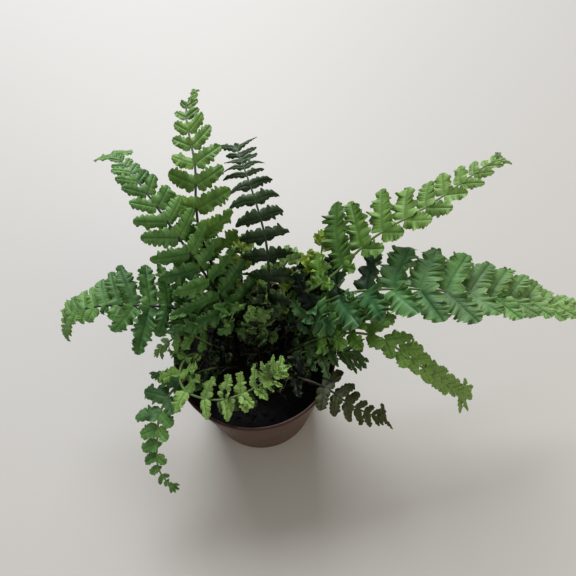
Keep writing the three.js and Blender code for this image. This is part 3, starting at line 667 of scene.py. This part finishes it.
# %% Leaf material
def living_leaf(slot):
    fresh, shade, vein, tip = (linear(code) for code in LEAF_COLOURS[slot])
    material, tree = start_material("living " + slot.replace("_", " "))
    held = [add(tree, "Attribute", attribute_name=name).outputs["Vector"] for name in ("leaf", "plant")]
    along, whole = (add(tree, "SeparateXYZ", {0: vector}) for vector in held)
    place = add(tree, "TexCoord").outputs["Object"]
    patches = add(tree, "TexNoise", {"Vector": place, "Scale": 1 / PATCH, "Detail": 3})
    # The shaded green comes in with the mark, which carries the painted shade, and with noise patches.
    tone = add(tree, "Math", {0: whole.outputs["Y"], 1: 0.45, 2: patches}, operation="MULTIPLY_ADD")
    tone = add(tree, "MapRange", {"Value": tone, "From Min": 0.4, "From Max": 1.0})
    # Marks past 0.9 paint a deep shade, towards near black.
    inner = add(tree, "MapRange", {"Value": whole.outputs["Y"], "From Min": 0.9, "From Max": 2.0})

    middle = add(tree, "Math", {0: along.outputs["Y"]}, operation="ABSOLUTE")
    edge = add(tree, "MapRange", {"Value": middle, "From Min": 0.25, "To Max": EDGE_LIGHT})
    # The frond's tip is paler, partly its young green and partly a painted sheen of the window.
    young = add(tree, "MapRange", {"Value": whole.outputs["X"], "From Min": 0.4, "To Max": TIP_LIGHT})
    paler_and_sheen = add(tree, "Math", {0: edge, 1: young}, operation="ADD", use_clamp=True)

    beat = add(tree, "Math", {0: along.outputs["X"]}, operation="FRACT")
    beat = add(tree, "Math", {0: beat, 1: 0.5}, operation="SUBTRACT")
    beat = add(tree, "Math", {0: beat}, operation="ABSOLUTE")
    # The clefts between the lobes get a painted shade in the vein colour.
    cleft_shade = add(tree, "MapRange", {"Value": beat, "From Min": 0.36, "From Max": 0.5,
                                    "To Max": CLEFT_SHADE})
    outer = add(tree, "MapRange", {"Value": middle, "From Min": 0.25, "From Max": 0.7})
    cleft_shade = add(tree, "Math", {0: cleft_shade, 1: outer}, operation="MULTIPLY")
    side_vein = add(tree, "MapRange", {"Value": beat, "From Min": 0.03, "From Max": 0.14,
                                       "To Min": VEIN_DARK, "To Max": 0.0})
    midrib = add(tree, "MapRange", {"Value": middle, "From Min": 0.02, "From Max": 0.12,
                                    "To Min": MIDRIB_DARK, "To Max": 0.0})
    veins = add(tree, "Math", {0: side_vein, 1: midrib}, operation="MAXIMUM")

    upper = fresh
    for share, colour in ((tone, shade), (paler_and_sheen, tip), (cleft_shade, vein), (veins, vein),
                          (inner, linear(DEEP_SHADE))):
        upper = add(tree, "MixRGB", {"Fac": share, "Color1": upper, "Color2": colour})
    lower = add(tree, "MixRGB", {"Fac": UNDERSIDE_SHARE, "Color1": upper, "Color2": linear(UNDERSIDE)})
    skin = add(tree, "MixRGB", {"Fac": whole.outputs["Z"], "Color1": lower, "Color2": upper})

    grain = add(tree, "TexNoise", {"Vector": place, "Scale": 1 / GRAIN, "Detail": 2})
    bump = add(tree, "Bump", {"Height": grain, "Strength": 0.25, "Distance": GRAIN_DEPTH})
    dull = add(tree, "MapRange", {"Value": patches, "To Min": 0.42, "To Max": 0.6})
    shader = add(tree, "BsdfPrincipled", {
        "Base Color": skin, "Roughness": dull, "Normal": bump, "Specular IOR Level": 0.4,
        "Subsurface Weight": 0.1, "Subsurface Scale": 0.6 * MM, "Subsurface Radius": (0.4, 1, 0.25),
    })
    add(tree, "OutputMaterial", {"Surface": shader})
    return material


LEAVES = {slot: living_leaf(slot) for slot in LEAF_COLOURS}
print("leaf materials:", len(LEAVES))


# %% [markdown]
# ## Stalk and scales
# The stalk is a smooth rod with a low gloss, dark brown at its foot and green towards the tip. The
# young fronds and some of the grown ones have a stalk that stays nearly black for most of its
# length. The foot carries thin scales, dry as paper, so they look matt and brown. The scales, the
# pot, the compost and the dry threads are all mottled between two colours, so one function makes
# that start of their materials.

# %% Stalk and scale materials
STREAK = 3 * MM
SCALE_MOTTLE = 2 * MM
FINE_RELIEF = 0.1 * MM


def fern_stalk(name, foot, tip, brown_to, green_from):
    material, tree = start_material(name)
    plant = add(tree, "Attribute", attribute_name="plant").outputs["Vector"]
    along = add(tree, "SeparateXYZ", {0: plant}).outputs["X"]
    place = add(tree, "TexCoord").outputs["Object"]
    streaks = add(tree, "TexNoise", {"Vector": place, "Scale": 1 / STREAK, "Detail": 3})
    share = add(tree, "Math", {0: streaks, 1: 0.3, 2: along}, operation="MULTIPLY_ADD")
    share = add(tree, "MapRange", {"Value": share, "From Min": brown_to, "From Max": green_from})
    colour = add(tree, "MixRGB", {"Fac": share, "Color1": linear(foot), "Color2": linear(tip)})
    bump = add(tree, "Bump", {"Height": streaks, "Strength": 0.3, "Distance": FINE_RELIEF})
    shader = add(tree, "BsdfPrincipled", {"Base Color": colour, "Roughness": 0.42, "Normal": bump})
    add(tree, "OutputMaterial", {"Surface": shader})
    return material


def mottled(name, size, detail, dark, light):
    material, tree = start_material(name)
    place = add(tree, "TexCoord").outputs["Object"]
    mottle = add(tree, "TexNoise", {"Vector": place, "Scale": 1 / size, "Detail": detail})
    colour = add(tree, "MixRGB", {"Fac": mottle, "Color1": linear(dark), "Color2": linear(light)})
    return material, tree, place, mottle, colour


def papery_scale():
    material, tree, _, mottle, colour = mottled("papery brown scale", SCALE_MOTTLE, 4, "#22170f",
                                                "#5e442a")
    bump = add(tree, "Bump", {"Height": mottle, "Strength": 0.4, "Distance": FINE_RELIEF})
    shader = add(tree, "BsdfPrincipled", {"Base Color": colour, "Roughness": 0.6, "Normal": bump})
    add(tree, "OutputMaterial", {"Surface": shader})
    return material


GREEN_STALK = fern_stalk("green fern stalk", "#1f1a12", "#647f45", 0.2, 0.45)
DARK_STALK = fern_stalk("near black fern stalk", "#15110d", "#3c5636", 0.5, 1.15)
SCALE = papery_scale()
print("stalks and scale:", GREEN_STALK.name, DARK_STALK.name, SCALE.name)
BLACK_STALKED = {"frond_back_left", "frond_back_dark", "frond_back_tall", "frond_left",
                 "frond_right_small"}


# %% Stalk and scale shapes
STALK_SIDES = 8
STALK_STEPS = 60
SOIL_LEVEL = 69
FOOT_DEPTH = 3
SCALE_LENGTH = 3.4
SCALE_WIDTH = 0.9
SCALE_CURL = 0.25
SCALE_FLARE = (0.15, 0.9)
SCALE_SIZES = (0.6, 1.3)
SCALE_INSET = 0.9
LOW_SCALES = 1.6
SCALE_PROFILE = ((0, 0.35), (0.3, 1), (0.65, 0.6), (1, 0.06))
SCALE_SECTION = ((-1, 0), (0, 0.12), (1, 0), (0, -0.04))


def add_stalk(gather, stalk, beyond):
    distances = np.linspace(0, stalk.length + beyond, STALK_STEPS)
    centres, sides, ups, radii = stalk.stations(distances)
    centres = np.vstack([centres[0] * [1, 1, 0] + [0, 0, SOIL_LEVEL - FOOT_DEPTH], centres])
    sides, ups = np.vstack([sides[:1], sides]), np.vstack([np.cross(sides[:1], UP), ups])
    radii = np.concatenate([[STALK_FOOT], radii])
    shares = np.repeat(np.concatenate([[0], distances / stalk.length]), STALK_SIDES)
    plant = np.outer(shares, [1, 0, 0])
    gather.add_rings(tube(centres, sides, ups, radii, STALK_SIDES), SECOND, plant)


def add_scale(gather, root, out, side, length, width):
    normal = np.cross(out, side)
    rings = []
    for share, wide in SCALE_PROFILE:
        middle = root + out * length * share - normal * length * SCALE_CURL * share ** 2
        rings.append([middle + side * across * wide * width / 2 + normal * high
                      for across, high in SCALE_SECTION])
    gather.add_rings(np.array(rings), THIRD)


def add_scales(gather, stalk, count, reach, chance):
    for _ in range(count):
        centre, ahead, side, up, radius = stalk.station(chance.uniform(0, 1) ** LOW_SCALES * reach)
        angle = chance.uniform(0, 2 * pi)
        away = side * cos(angle) + up * sin(angle)
        flare = chance.uniform(*SCALE_FLARE)
        out = unit(ahead + away * flare)
        across = unit(np.cross(away, out))
        length = SCALE_LENGTH * chance.uniform(*SCALE_SIZES)
        root = centre + away * radius * SCALE_INSET
        add_scale(gather, root, out, across, length, SCALE_WIDTH)


# %% [markdown]
# ## The crested tip
# Crested ferns split at the tip into short arms, each a small crisped leaflet of its own. Half of
# the grown fronds get four narrow arms, about as wide together as the fan that the solid has there,
# and nearly all young ones get three broad arms. The other fronds have arms of their own. An arm's
# numbers are its start along the tip, its angle in degrees, and its length and width as shares of
# the tip.

# %% Crest
ARMS = ((0, -36, 0.86, 0.17), (0, -12, 0.98, 0.17), (0, 13, 0.95, 0.17), (0, 37, 0.84, 0.17))
WIDE_ARMS = ((0, -72, 0.75, 0.18), (0, -38, 0.8, 0.2), (0, -8, 0.8, 0.2), (0, 34, 0.85, 0.2),
             (0, 70, 0.78, 0.18))
ARM_DROOP = 0.15
CRESTS = {
    "frond_back_left": ((0, -30, 0.95, 0.28), (0, -4, 0.5, 0.2), (0, 36, 0.45, 0.2), (0, 76, 0.6, 0.24),
                        (0, 108, 0.85, 0.28)),
    "frond_back_dark": ((0.08, -72, 0.5, 0.13), (0.08, 72, 0.55, 0.13), (0.27, -66, 0.4, 0.13),
                        (0.27, 70, 0.6, 0.11), (0.5, -57, 0.55, 0.15), (0.5, 5, 0.25, 0.12),
                        (0.5, 61, 0.75, 0.13)),
    "frond_right_upper": ((0, -41, 0.67, 0.18), (0, 5, 0.45, 0.15), (0, 53, 0.73, 0.15)),
    "frond_right_lower": WIDE_ARMS,
    "frond_right_small": ((0, -62, 0.95, 0.24), (0, -30, 0.6, 0.18), (0, 22, 0.98, 0.12)),
    "frond_front_fresh": ((0, -75, 0.8, 0.26), (0, -28, 0.95, 0.26), (0, 22, 0.85, 0.26),
                          (0, 72, 0.7, 0.26)),
    "young_frond_05": WIDE_ARMS,
}
YOUNG_ARMS = ((0, -52, 0.75, 0.34), (0, -5, 0.9, 0.34), (0, 48, 0.75, 0.34))
CREST_SHADE = {"frond_right_upper": 0.8}
print("fronds with a crest of their own:", len(CRESTS))


def add_crest(gather, stalk, size, arms, look, chance, shade):
    for start, degrees, share, wide in arms:
        centre, ahead, side, up, _ = stalk.station(stalk.length + start * size)
        angle = radians(degrees)
        out = ahead * cos(angle) + side * sin(angle)
        across = -side * cos(angle) + ahead * sin(angle)
        arm = dict(root=centre + up * BLADE / 2 - out, out=out, up=up, across=across, hand=1, lift=0,
                   place=1, length=size * share, width=wide * size, droop=ARM_DROOP)
        leaflet(gather, arm, look, chance, FINE, shade)


# %% [markdown]
# ## The thicket
# In the middle the plant is a thicket of small crisped leaflets, so close that no stalk shows
# between them. The solids hold the young fronds with their main leaflets. Here each frond gets more
# small ones along a part of its length, at chance places, angles and turns, and coarser in their
# mesh because they lie in each other's shade. The lower a leaflet of the thicket lies, the deeper
# the shade it stands in, so its green is painted darker with depth.

# %% Small leaflets inside the thicket
POT_CLEAR = 1.5
CROWD_ANGLE = (50, 100)
CROWD_TURN = (-50, 70)
CROWD_LENGTH = (0.6, 1.2)
CROWD_WIDTH = (0.3, 0.42)
CROWD_DROOP = 0.25
SUNLIT_FROM = 104
DARK_BELOW = 82
DEEPEST = 2


def depth_shade(height):
    return DEEPEST * np.clip((SUNLIT_FROM - height) / (SUNLIT_FROM - DARK_BELOW), 0, 1)


def add_crowd(gather, stalk, look, reach, count, chance, size):
    for _ in range(count):
        distance = stalk.length * chance.uniform(*reach)
        centre, ahead, side, up, radius = stalk.station(distance)
        hand = chance.choice((-1, 1))
        angle = radians(chance.uniform(*CROWD_ANGLE))
        turn = radians(chance.uniform(*CROWD_TURN))
        side = side * hand * cos(turn) + up * sin(turn)
        lifted = np.cross(side, ahead) * hand
        out = ahead * cos(angle) + side * sin(angle)
        length = size * chance.uniform(*CROWD_LENGTH)
        across = ahead * sin(angle) - side * cos(angle)
        blade = dict(root=centre + side * radius, out=out, up=lifted, across=across, hand=hand, lift=0,
                     place=distance / stalk.length, length=length, droop=CROWD_DROOP,
                     width=length * chance.uniform(*CROWD_WIDTH))
        if rib(blade, 1)[2] > SOIL_LEVEL + POT_CLEAR:
            # Painted shade, darker the lower the leaflet lies.
            shade = depth_shade(centre[2]) * chance.uniform(0.5, 1)
            leaflet(gather, blade, look, chance, COARSE, shade)


# %% [markdown]
# ## Growing every frond
# All fronds start from one look of leaflet and change some of its values: the long frond's leaflets
# are cupped, the dark frond at the back rolls its edges under, and the young ones in the middle are
# strongly crisped. "broad", "base" and "blunt" shape a leaflet's outline, and "notch" and "teeth"
# cut its edge. "fold", "bend", "crisp", "ripple" and "twist" shape its surface, and "sickle" and
# "swing" curve it sideways. Towards the foot of each frond the leaflets are more crumpled.

# %% Looks of the leaflets
LOOK = dict(shade=0, pale_tip=1, broad=1.12, base=0.8, blunt=2.8, notch=0.3, teeth=0.05, fold=0.12,
            bend=0.45, crisp=0.35, ripple=0.3, twist=0.15, sickle=0.05, swing=0.03)
CRISPED = dict(LOOK, pale_tip=1.5, crisp=1, ripple=0.8, twist=0.5, swing=0.12, fold=0.3, notch=0.35)
LOOKS = {
    "frond_right_long": dict(LOOK, broad=1.25, base=1, blunt=3, notch=0.28, fold=0.35, bend=0.35,
                             crisp=0.6, sickle=0.1),
    "frond_right_upper": dict(LOOK, broad=1.15, base=0.95, blunt=2.1, notch=0.26, teeth=0.08,
                              bend=0.3, crisp=0.5, swing=0.08),
    "frond_back_left": dict(LOOK, pale_tip=0.55, broad=1.2, base=0.95, bend=0.9, fold=0.15),
    "frond_back_tall": dict(LOOK, shade=0.15, pale_tip=0.4, broad=1.05, base=0.85, notch=0.24,
                            teeth=0.07, bend=0.6, swing=0.06),
    "frond_back_dark": dict(LOOK, pale_tip=0.6, broad=1.1, blunt=1.9, bend=1.2, twist=0.5, swing=0.1,
                            sickle=-0.22),
    "frond_left": dict(LOOK, pale_tip=0.8, broad=1.3, crisp=0.7),
    "frond_left_curled": dict(LOOK, bend=1.2, twist=0.3),
    "frond_right_lower": dict(LOOK, shade=-0.2, crisp=0.6),
    "frond_right_small": dict(LOOK, broad=1.3, crisp=0.6),
    "frond_trailing": dict(LOOK, shade=0.15, pale_tip=0.6),
    "frond_front_fresh": dict(CRISPED, fold=0.55, bend=0.9),
    "frond_front_dark": CRISPED,
}
print("leaflet looks:", len(LOOKS))

# %% Shades and crumpling
CRUMPLE = {"crisp": 0.7, "ripple": 0.7, "twist": 0.4, "swing": 0.08}
CRUMPLED_TO = 0.6
# The long frond's first three left leaflets stand in deep shade, painted on them as near black.
INNER_DARK = {"frond_right_long": 6}
DARK_SLIM = 0.66
DARK_SHADE = 1.2
FOOT_SHADE = 0.3
YOUNG_SHADE = 0.8
YOUNG_CREST_SHADE = 0.7
SUNLIT = {"young_frond_08", "young_frond_13"}

# %% How many scales and small leaflets
GROWN_SCALES = 26
YOUNG_SCALES = 12
SCALY_REACH = 30
CROWD = ((0.1, 0.34), 10, 9)
YOUNG_CROWD = ((0.3, 0.95), 18, 9)
CROWDS = {"frond_front_fresh": ((0.68, 0.98), 14, 8), "young_frond_06": ((0.3, 1), 30, 12)}

# %% Fronds
missing = 0
for seed, (node, habit) in enumerate(FRONDS.items(), start=1):
    slot, crest = habit["slot"], habit["crest"]
    young = node.startswith("young")
    look = CRISPED if young else LOOKS[node]
    chance = np.random.default_rng(seed)
    stalk = Stalk(habit["route"], crest, habit["roll"])
    gather = Gather()
    arms = CRESTS.get(node, YOUNG_ARMS if young else ARMS)
    add_stalk(gather, stalk, crest * max(start for start, *_ in arms))
    corners = corners_of(node)
    for order, planned in enumerate(plan_leaflets(habit, stalk, seed)):
        blade, found = as_solid(planned, corners)
        missing += not found
        dark = order < INNER_DARK.get(node, 0) and planned["hand"] == -1
        inner = max(0, 1 - planned["place"] / CRUMPLED_TO)
        # Painted shade: near black on the long frond's first left leaflets, deepening with depth in the
        # young fronds, and towards the foot of the grown ones.
        if dark:
            shade = DARK_SHADE
        elif node in SUNLIT:
            shade = 0
        elif young:
            shade = YOUNG_SHADE * depth_shade(blade["root"][2])
        else:
            shade = FOOT_SHADE * inner
        crumpled = {**look, **{key: look[key] + more * inner for key, more in CRUMPLE.items()}}
        crumpled["broad"] *= DARK_SLIM if dark else 1
        leaflet(gather, blade, crumpled, chance, FINE, shade)
    shade = CREST_SHADE.get(node, 0)
    # The young fronds' crests get the same painted shade by depth.
    if young:
        shade = YOUNG_CREST_SHADE * depth_shade(stalk.centre[-1][2])
    add_crest(gather, stalk, crest, arms, dict(look, broad=1, sickle=0), chance, shade)
    reach, count, size = CROWDS.get(node, YOUNG_CROWD if young else CROWD)
    add_crowd(gather, stalk, CRISPED, reach, count, chance, size)
    add_scales(gather, stalk, YOUNG_SCALES if young else GROWN_SCALES, SCALY_REACH, chance)
    dark_stalk = young or node in BLACK_STALKED
    materials = [LEAVES[slot], DARK_STALK if dark_stalk else GREEN_STALK, SCALE]
    made = gather.piece(f"{node}_fine", node, materials)
    print(made.name, "faces:", len(made.data.polygons))
print("leaflets that the solids have no room for:", missing)


# %% [markdown]
# ## Nursery pot
# The pot is thin injection-moulded polypropylene in a dull terracotta brown: satin, smooth, with a
# small rolled lip that darkens towards its top edge. It is turned from its section, and the drain
# holes are cut from the floor.

# %% Pot sizes
POT_HEIGHT = 78
RIM_RADIUS = 45
BASE_RADIUS = 34
WALL = 1
FLOOR = 1.6
LIP_HEIGHT = 3.2
LIP_WIDTH = 0.5
POT_SIDES = 128
DRAIN_HOLES = 6
DRAIN_RADIUS = 3.5
DRAIN_RING = 20
DRAIN_SIDES = 24
POT_SMOOTH_BELOW = radians(40)


def outer_radius(height):
    return BASE_RADIUS + (RIM_RADIUS - LIP_WIDTH - BASE_RADIUS) * height / POT_HEIGHT


# %% Pot section
lip = POT_HEIGHT - LIP_HEIGHT
inner = outer_radius(POT_HEIGHT) - WALL
pot_profile = [
    (BASE_RADIUS - 1, 0), (BASE_RADIUS - 0.45, 0.12), (BASE_RADIUS - 0.1, 0.45),
    (outer_radius(1), 1), (outer_radius(lip - 0.3), lip - 0.3), (outer_radius(lip) + 0.15, lip - 0.05),
    (RIM_RADIUS - 0.2, lip + 0.2), (RIM_RADIUS, lip + 0.6), (RIM_RADIUS, POT_HEIGHT - 0.5),
    (RIM_RADIUS - 0.15, POT_HEIGHT - 0.15), (RIM_RADIUS - 0.5, POT_HEIGHT),
    (inner + 0.4, POT_HEIGHT), (inner + 0.12, POT_HEIGHT - 0.15), (inner, POT_HEIGHT - 0.4),
    (outer_radius(FLOOR) - WALL, FLOOR),
]
print("pot section:", len(pot_profile), "corners")

# %% Pot shape
wall = Gather()
wall.add_rings(lathe(pot_profile, POT_SIDES), FIRST)
pot = place_object("nursery_pot", wall.mesh("nursery_pot"))

punch = Gather()
hole = lathe([(DRAIN_RADIUS, -1), (DRAIN_RADIUS, FLOOR + 1)], DRAIN_SIDES)
for middle in lathe([(DRAIN_RING, 0)], DRAIN_HOLES)[0]:
    punch.add_rings(hole + middle, FIRST)
puncher = place_object("punch", punch.mesh("punch"))
cut = pot.modifiers.new("holes", "BOOLEAN")
cut.object = puncher
cut.operation = "DIFFERENCE"
cut.solver = "EXACT"
holed = bpy.data.meshes.new_from_object(pot.evaluated_get(bpy.context.evaluated_depsgraph_get()))
pot.modifiers.clear()
pot.data = holed
bpy.data.objects.remove(puncher)
holed.polygons.foreach_set("use_smooth", [True] * len(holed.polygons))
holed.set_sharp_from_angle(angle=POT_SMOOTH_BELOW)
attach(pot, "root")
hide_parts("pot")
print("pot faces:", len(holed.polygons))


# %% Pot material
DUST = 12 * MM
FLOW = 0.6 * MM
DARKER_RIM_BAND = (POT_HEIGHT - 3) * MM, (POT_HEIGHT - 0.5) * MM


def moulded_polypropylene():
    material, tree, place, dust, colour = mottled("terracotta brown polypropylene", DUST, 5, "#4e3322",
                                                  "#61402f")
    flow = add(tree, "TexNoise", {"Vector": place, "Scale": 1 / FLOW, "Detail": 2})
    height = add(tree, "SeparateXYZ", {0: place}).outputs["Z"]
    # The top few millimetres of the rim, inside and out, are mixed towards a dark red-brown.
    darker_rim = add(tree, "MapRange", {"Value": height, "From Min": DARKER_RIM_BAND[0],
                                    "From Max": DARKER_RIM_BAND[1], "To Max": 0.75})
    colour = add(tree, "MixRGB", {"Fac": darker_rim, "Color1": colour, "Color2": linear("#2c1714")})
    dull = add(tree, "MapRange", {"Value": dust, "To Min": 0.34, "To Max": 0.52})
    bump = add(tree, "Bump", {"Height": flow, "Strength": 0.12, "Distance": FINE_RELIEF})
    shader = add(tree, "BsdfPrincipled", {"Base Color": colour, "Roughness": dull, "Normal": bump,
                                          "Specular IOR Level": 0.35})
    add(tree, "OutputMaterial", {"Surface": shader})
    return material


pot.data.materials.clear()
pot.data.materials.append(moulded_polypropylene())
print("pot material:", pot.data.materials[0].name)


# %% [markdown]
# ## Compost
# Peaty compost fills the pot to 9 millimetres below the rim. Moist peat is almost black and matt,
# with rounded clods and fine grit. A wavy disc gives the surface, and several hundred loose crumbs
# of different sizes and three dry threads of old stalk lie on it.

# %% Compost sizes
WALL_GAP = 0.3
SOIL_RINGS = 26
SOIL_SIDES = 96
SOIL_EDGE_DROP = 1.6
CRUMBS = ((0.35, 420), (0.6, 260), (1.0, 90), (1.6, 24))
CLOD = 3 * MM
GRIT = 0.9 * MM
GRIT_DEPTH = 0.5 * MM
DRY_STREAK = 1.5 * MM
DRY_STEPS = 24
DRY_SIDES = 6
DRY_RADIUS = 0.3
DRY_STALKS = (
    ((-30, 10, 70), (-25, 9, 72), (-20, 10, 71.5), (-15, 12, 70)),
    ((-26, 4, 70), (-27, -2, 73), (-30, -7, 73.5), (-33, -11, 70)),
    ((37, -17, 69.5), (40, -14, 75), (40.5, -9, 77), (39, -6, 74), (36, -7, 69.5)),
)


# %% Wavy surface and crumbs
SOIL_FLAT_TO = 18
SOIL_FALL_WIDTH = 22
WAVE_HEIGHT = 0.8
ICOSAHEDRON_REACH = 1.9
CRUMB_STRETCH = (0.6, 1.4)
CRUMB_UNEVEN = (0.7, 1.25)


def soil_height(x, y):
    radius = np.hypot(x, y)
    fall = SOIL_EDGE_DROP * np.clip((radius - SOIL_FLAT_TO) / SOIL_FALL_WIDTH, 0, 1) ** 1.5
    waves = (0.5 * np.sin(0.9 * x + 2) * np.cos(0.8 * y - 1) + 0.25 * np.sin(2.3 * x - y)
             + 0.2 * np.cos(2.9 * y + 1.3 * x))
    return SOIL_LEVEL - fall + waves * WAVE_HEIGHT


def crumb(gather, centre, size, chance):
    phi = (1 + 5 ** 0.5) / 2
    corners = np.array([(-1, phi, 0), (1, phi, 0), (-1, -phi, 0), (1, -phi, 0), (0, -1, phi),
                        (0, 1, phi), (0, -1, -phi), (0, 1, -phi), (phi, 0, -1), (phi, 0, 1),
                        (-phi, 0, -1), (-phi, 0, 1)]) / ICOSAHEDRON_REACH
    faces = [(0, 11, 5), (0, 5, 1), (0, 1, 7), (0, 7, 10), (0, 10, 11), (1, 5, 9), (5, 11, 4),
             (11, 10, 2), (10, 7, 6), (7, 1, 8), (3, 9, 4), (3, 4, 2), (3, 2, 6), (3, 6, 8),
             (3, 8, 9), (4, 9, 5), (2, 4, 11), (6, 2, 10), (8, 6, 7), (9, 8, 1)]
    stretch = chance.uniform(*CRUMB_STRETCH, 3)
    points = corners * chance.uniform(*CRUMB_UNEVEN, (12, 1)) * stretch * size
    gather.add(points + centre, faces, FIRST)


# %% Compost and dry stalk materials
def potting_compost():
    material, tree, place, clods, colour = mottled("peaty potting compost", CLOD, 6, "#131214",
                                                   "#212022")
    grit = add(tree, "TexVoronoi", {"Vector": place, "Scale": 1 / GRIT})
    height = add(tree, "Math", {0: clods, 1: grit}, operation="ADD")
    bump = add(tree, "Bump", {"Height": height, "Strength": 0.8, "Distance": GRIT_DEPTH})
    shader = add(tree, "BsdfPrincipled", {"Base Color": colour, "Roughness": 0.88, "Normal": bump,
                                          "Specular IOR Level": 0.3})
    add(tree, "OutputMaterial", {"Surface": shader})
    return material


def dry_stalk():
    material, tree, _, _, colour = mottled("dry brown stalk", DRY_STREAK, 3, "#4a3828", "#8a7257")
    shader = add(tree, "BsdfPrincipled", {"Base Color": colour, "Roughness": 0.7})
    add(tree, "OutputMaterial", {"Surface": shader})
    return material


# %% Compost
rng = np.random.default_rng(7)
soil = Gather()
wall_radius = outer_radius(SOIL_LEVEL - SOIL_EDGE_DROP) - WALL - WALL_GAP
crust = lathe([(radius, 0) for radius in np.linspace(0.5, wall_radius, SOIL_RINGS)], SOIL_SIDES)
crust[..., 2] = soil_height(crust[..., 0], crust[..., 1])
bottom = lathe([(outer_radius(FLOOR + WALL_GAP) - WALL - WALL_GAP, FLOOR + WALL_GAP)], SOIL_SIDES)
soil.add_rings(np.concatenate([crust, bottom])[::-1], FIRST)
reach = wall_radius - CRUMBS[-1][0]
for size, count in CRUMBS:
    for _ in range(count):
        radius, angle = reach * rng.uniform() ** 0.5, rng.uniform(0, 2 * pi)
        spot = np.array([radius * cos(angle), radius * sin(angle)])
        crumb(soil, np.array([*spot, soil_height(*spot) + 0.2 * size]), size, rng)
for route in DRY_STALKS:
    thread = Stalk(route, 0, (0, 0))
    middles, sides, ups, radii = thread.stations(np.linspace(0, thread.length, DRY_STEPS))
    soil.add_rings(tube(middles, sides, ups, 0 * radii + DRY_RADIUS, DRY_SIDES), SECOND)
compost = soil.piece("compost", "soil", [potting_compost(), dry_stalk()])
print("compost faces:", len(compost.data.polygons))

# %% [markdown]
# ## Rootstock
# All stalks rise from one short upright rootstock, half buried, covered with brown scales that
# overlap like tiles.

# %% Rootstock sizes
CROWN_PROFILE = [(0.4, 60), (5, 60), (6, 66), (6, 70), (5.2, 73), (3.2, 75.5), (0.6, 76.6)]
CROWN_SLIM = 0.92
CROWN_SIDES = 20
CROWN_ROWS = 7
CROWN_ROW_STEP = 1.05
CROWN_SCALE_INSET = 0.85
CROWN_SCALE_WIDTH = 1.8
CROWN_ROW_SCALES = 12
CROWN_FIRST_ROW = SOIL_LEVEL - 1
CROWN_FLARE = 0.25
CROWN_FLARE_STEP = 0.08
CROWN_SCALE_SIZES = (0.8, 1.2)
CROWN_SHRINK_STEP = 0.06

# %% Rootstock
crown = Gather()
radii, heights = np.array(CROWN_PROFILE).T
crown.add_rings(lathe(list(zip(radii * CROWN_SLIM, heights)), CROWN_SIDES), THIRD)
for row in range(CROWN_ROWS):
    height = CROWN_FIRST_ROW + row * CROWN_ROW_STEP
    radius = np.interp(height, heights, radii) * CROWN_SCALE_INSET
    for place in range(CROWN_ROW_SCALES):
        angle = 2 * pi * (place + 0.5 * (row % 2)) / CROWN_ROW_SCALES
        away = np.array([cos(angle), sin(angle), 0])
        out = unit(UP + away * (CROWN_FLARE - CROWN_FLARE_STEP * row))
        length = SCALE_LENGTH * rng.uniform(*CROWN_SCALE_SIZES) * (1 - CROWN_SHRINK_STEP * row)
        across = unit(np.cross(away, out))
        add_scale(crown, away * radius + UP * height, out, across, length, CROWN_SCALE_WIDTH)
crown.piece("scaly_rootstock", "crown", [SCALE] * 3)
print("rootstock scales:", CROWN_ROWS * CROWN_ROW_SCALES)

# %% [markdown]
# ## The end
# The dressed plant may not grow past its solids.

# %% The end
print("done")
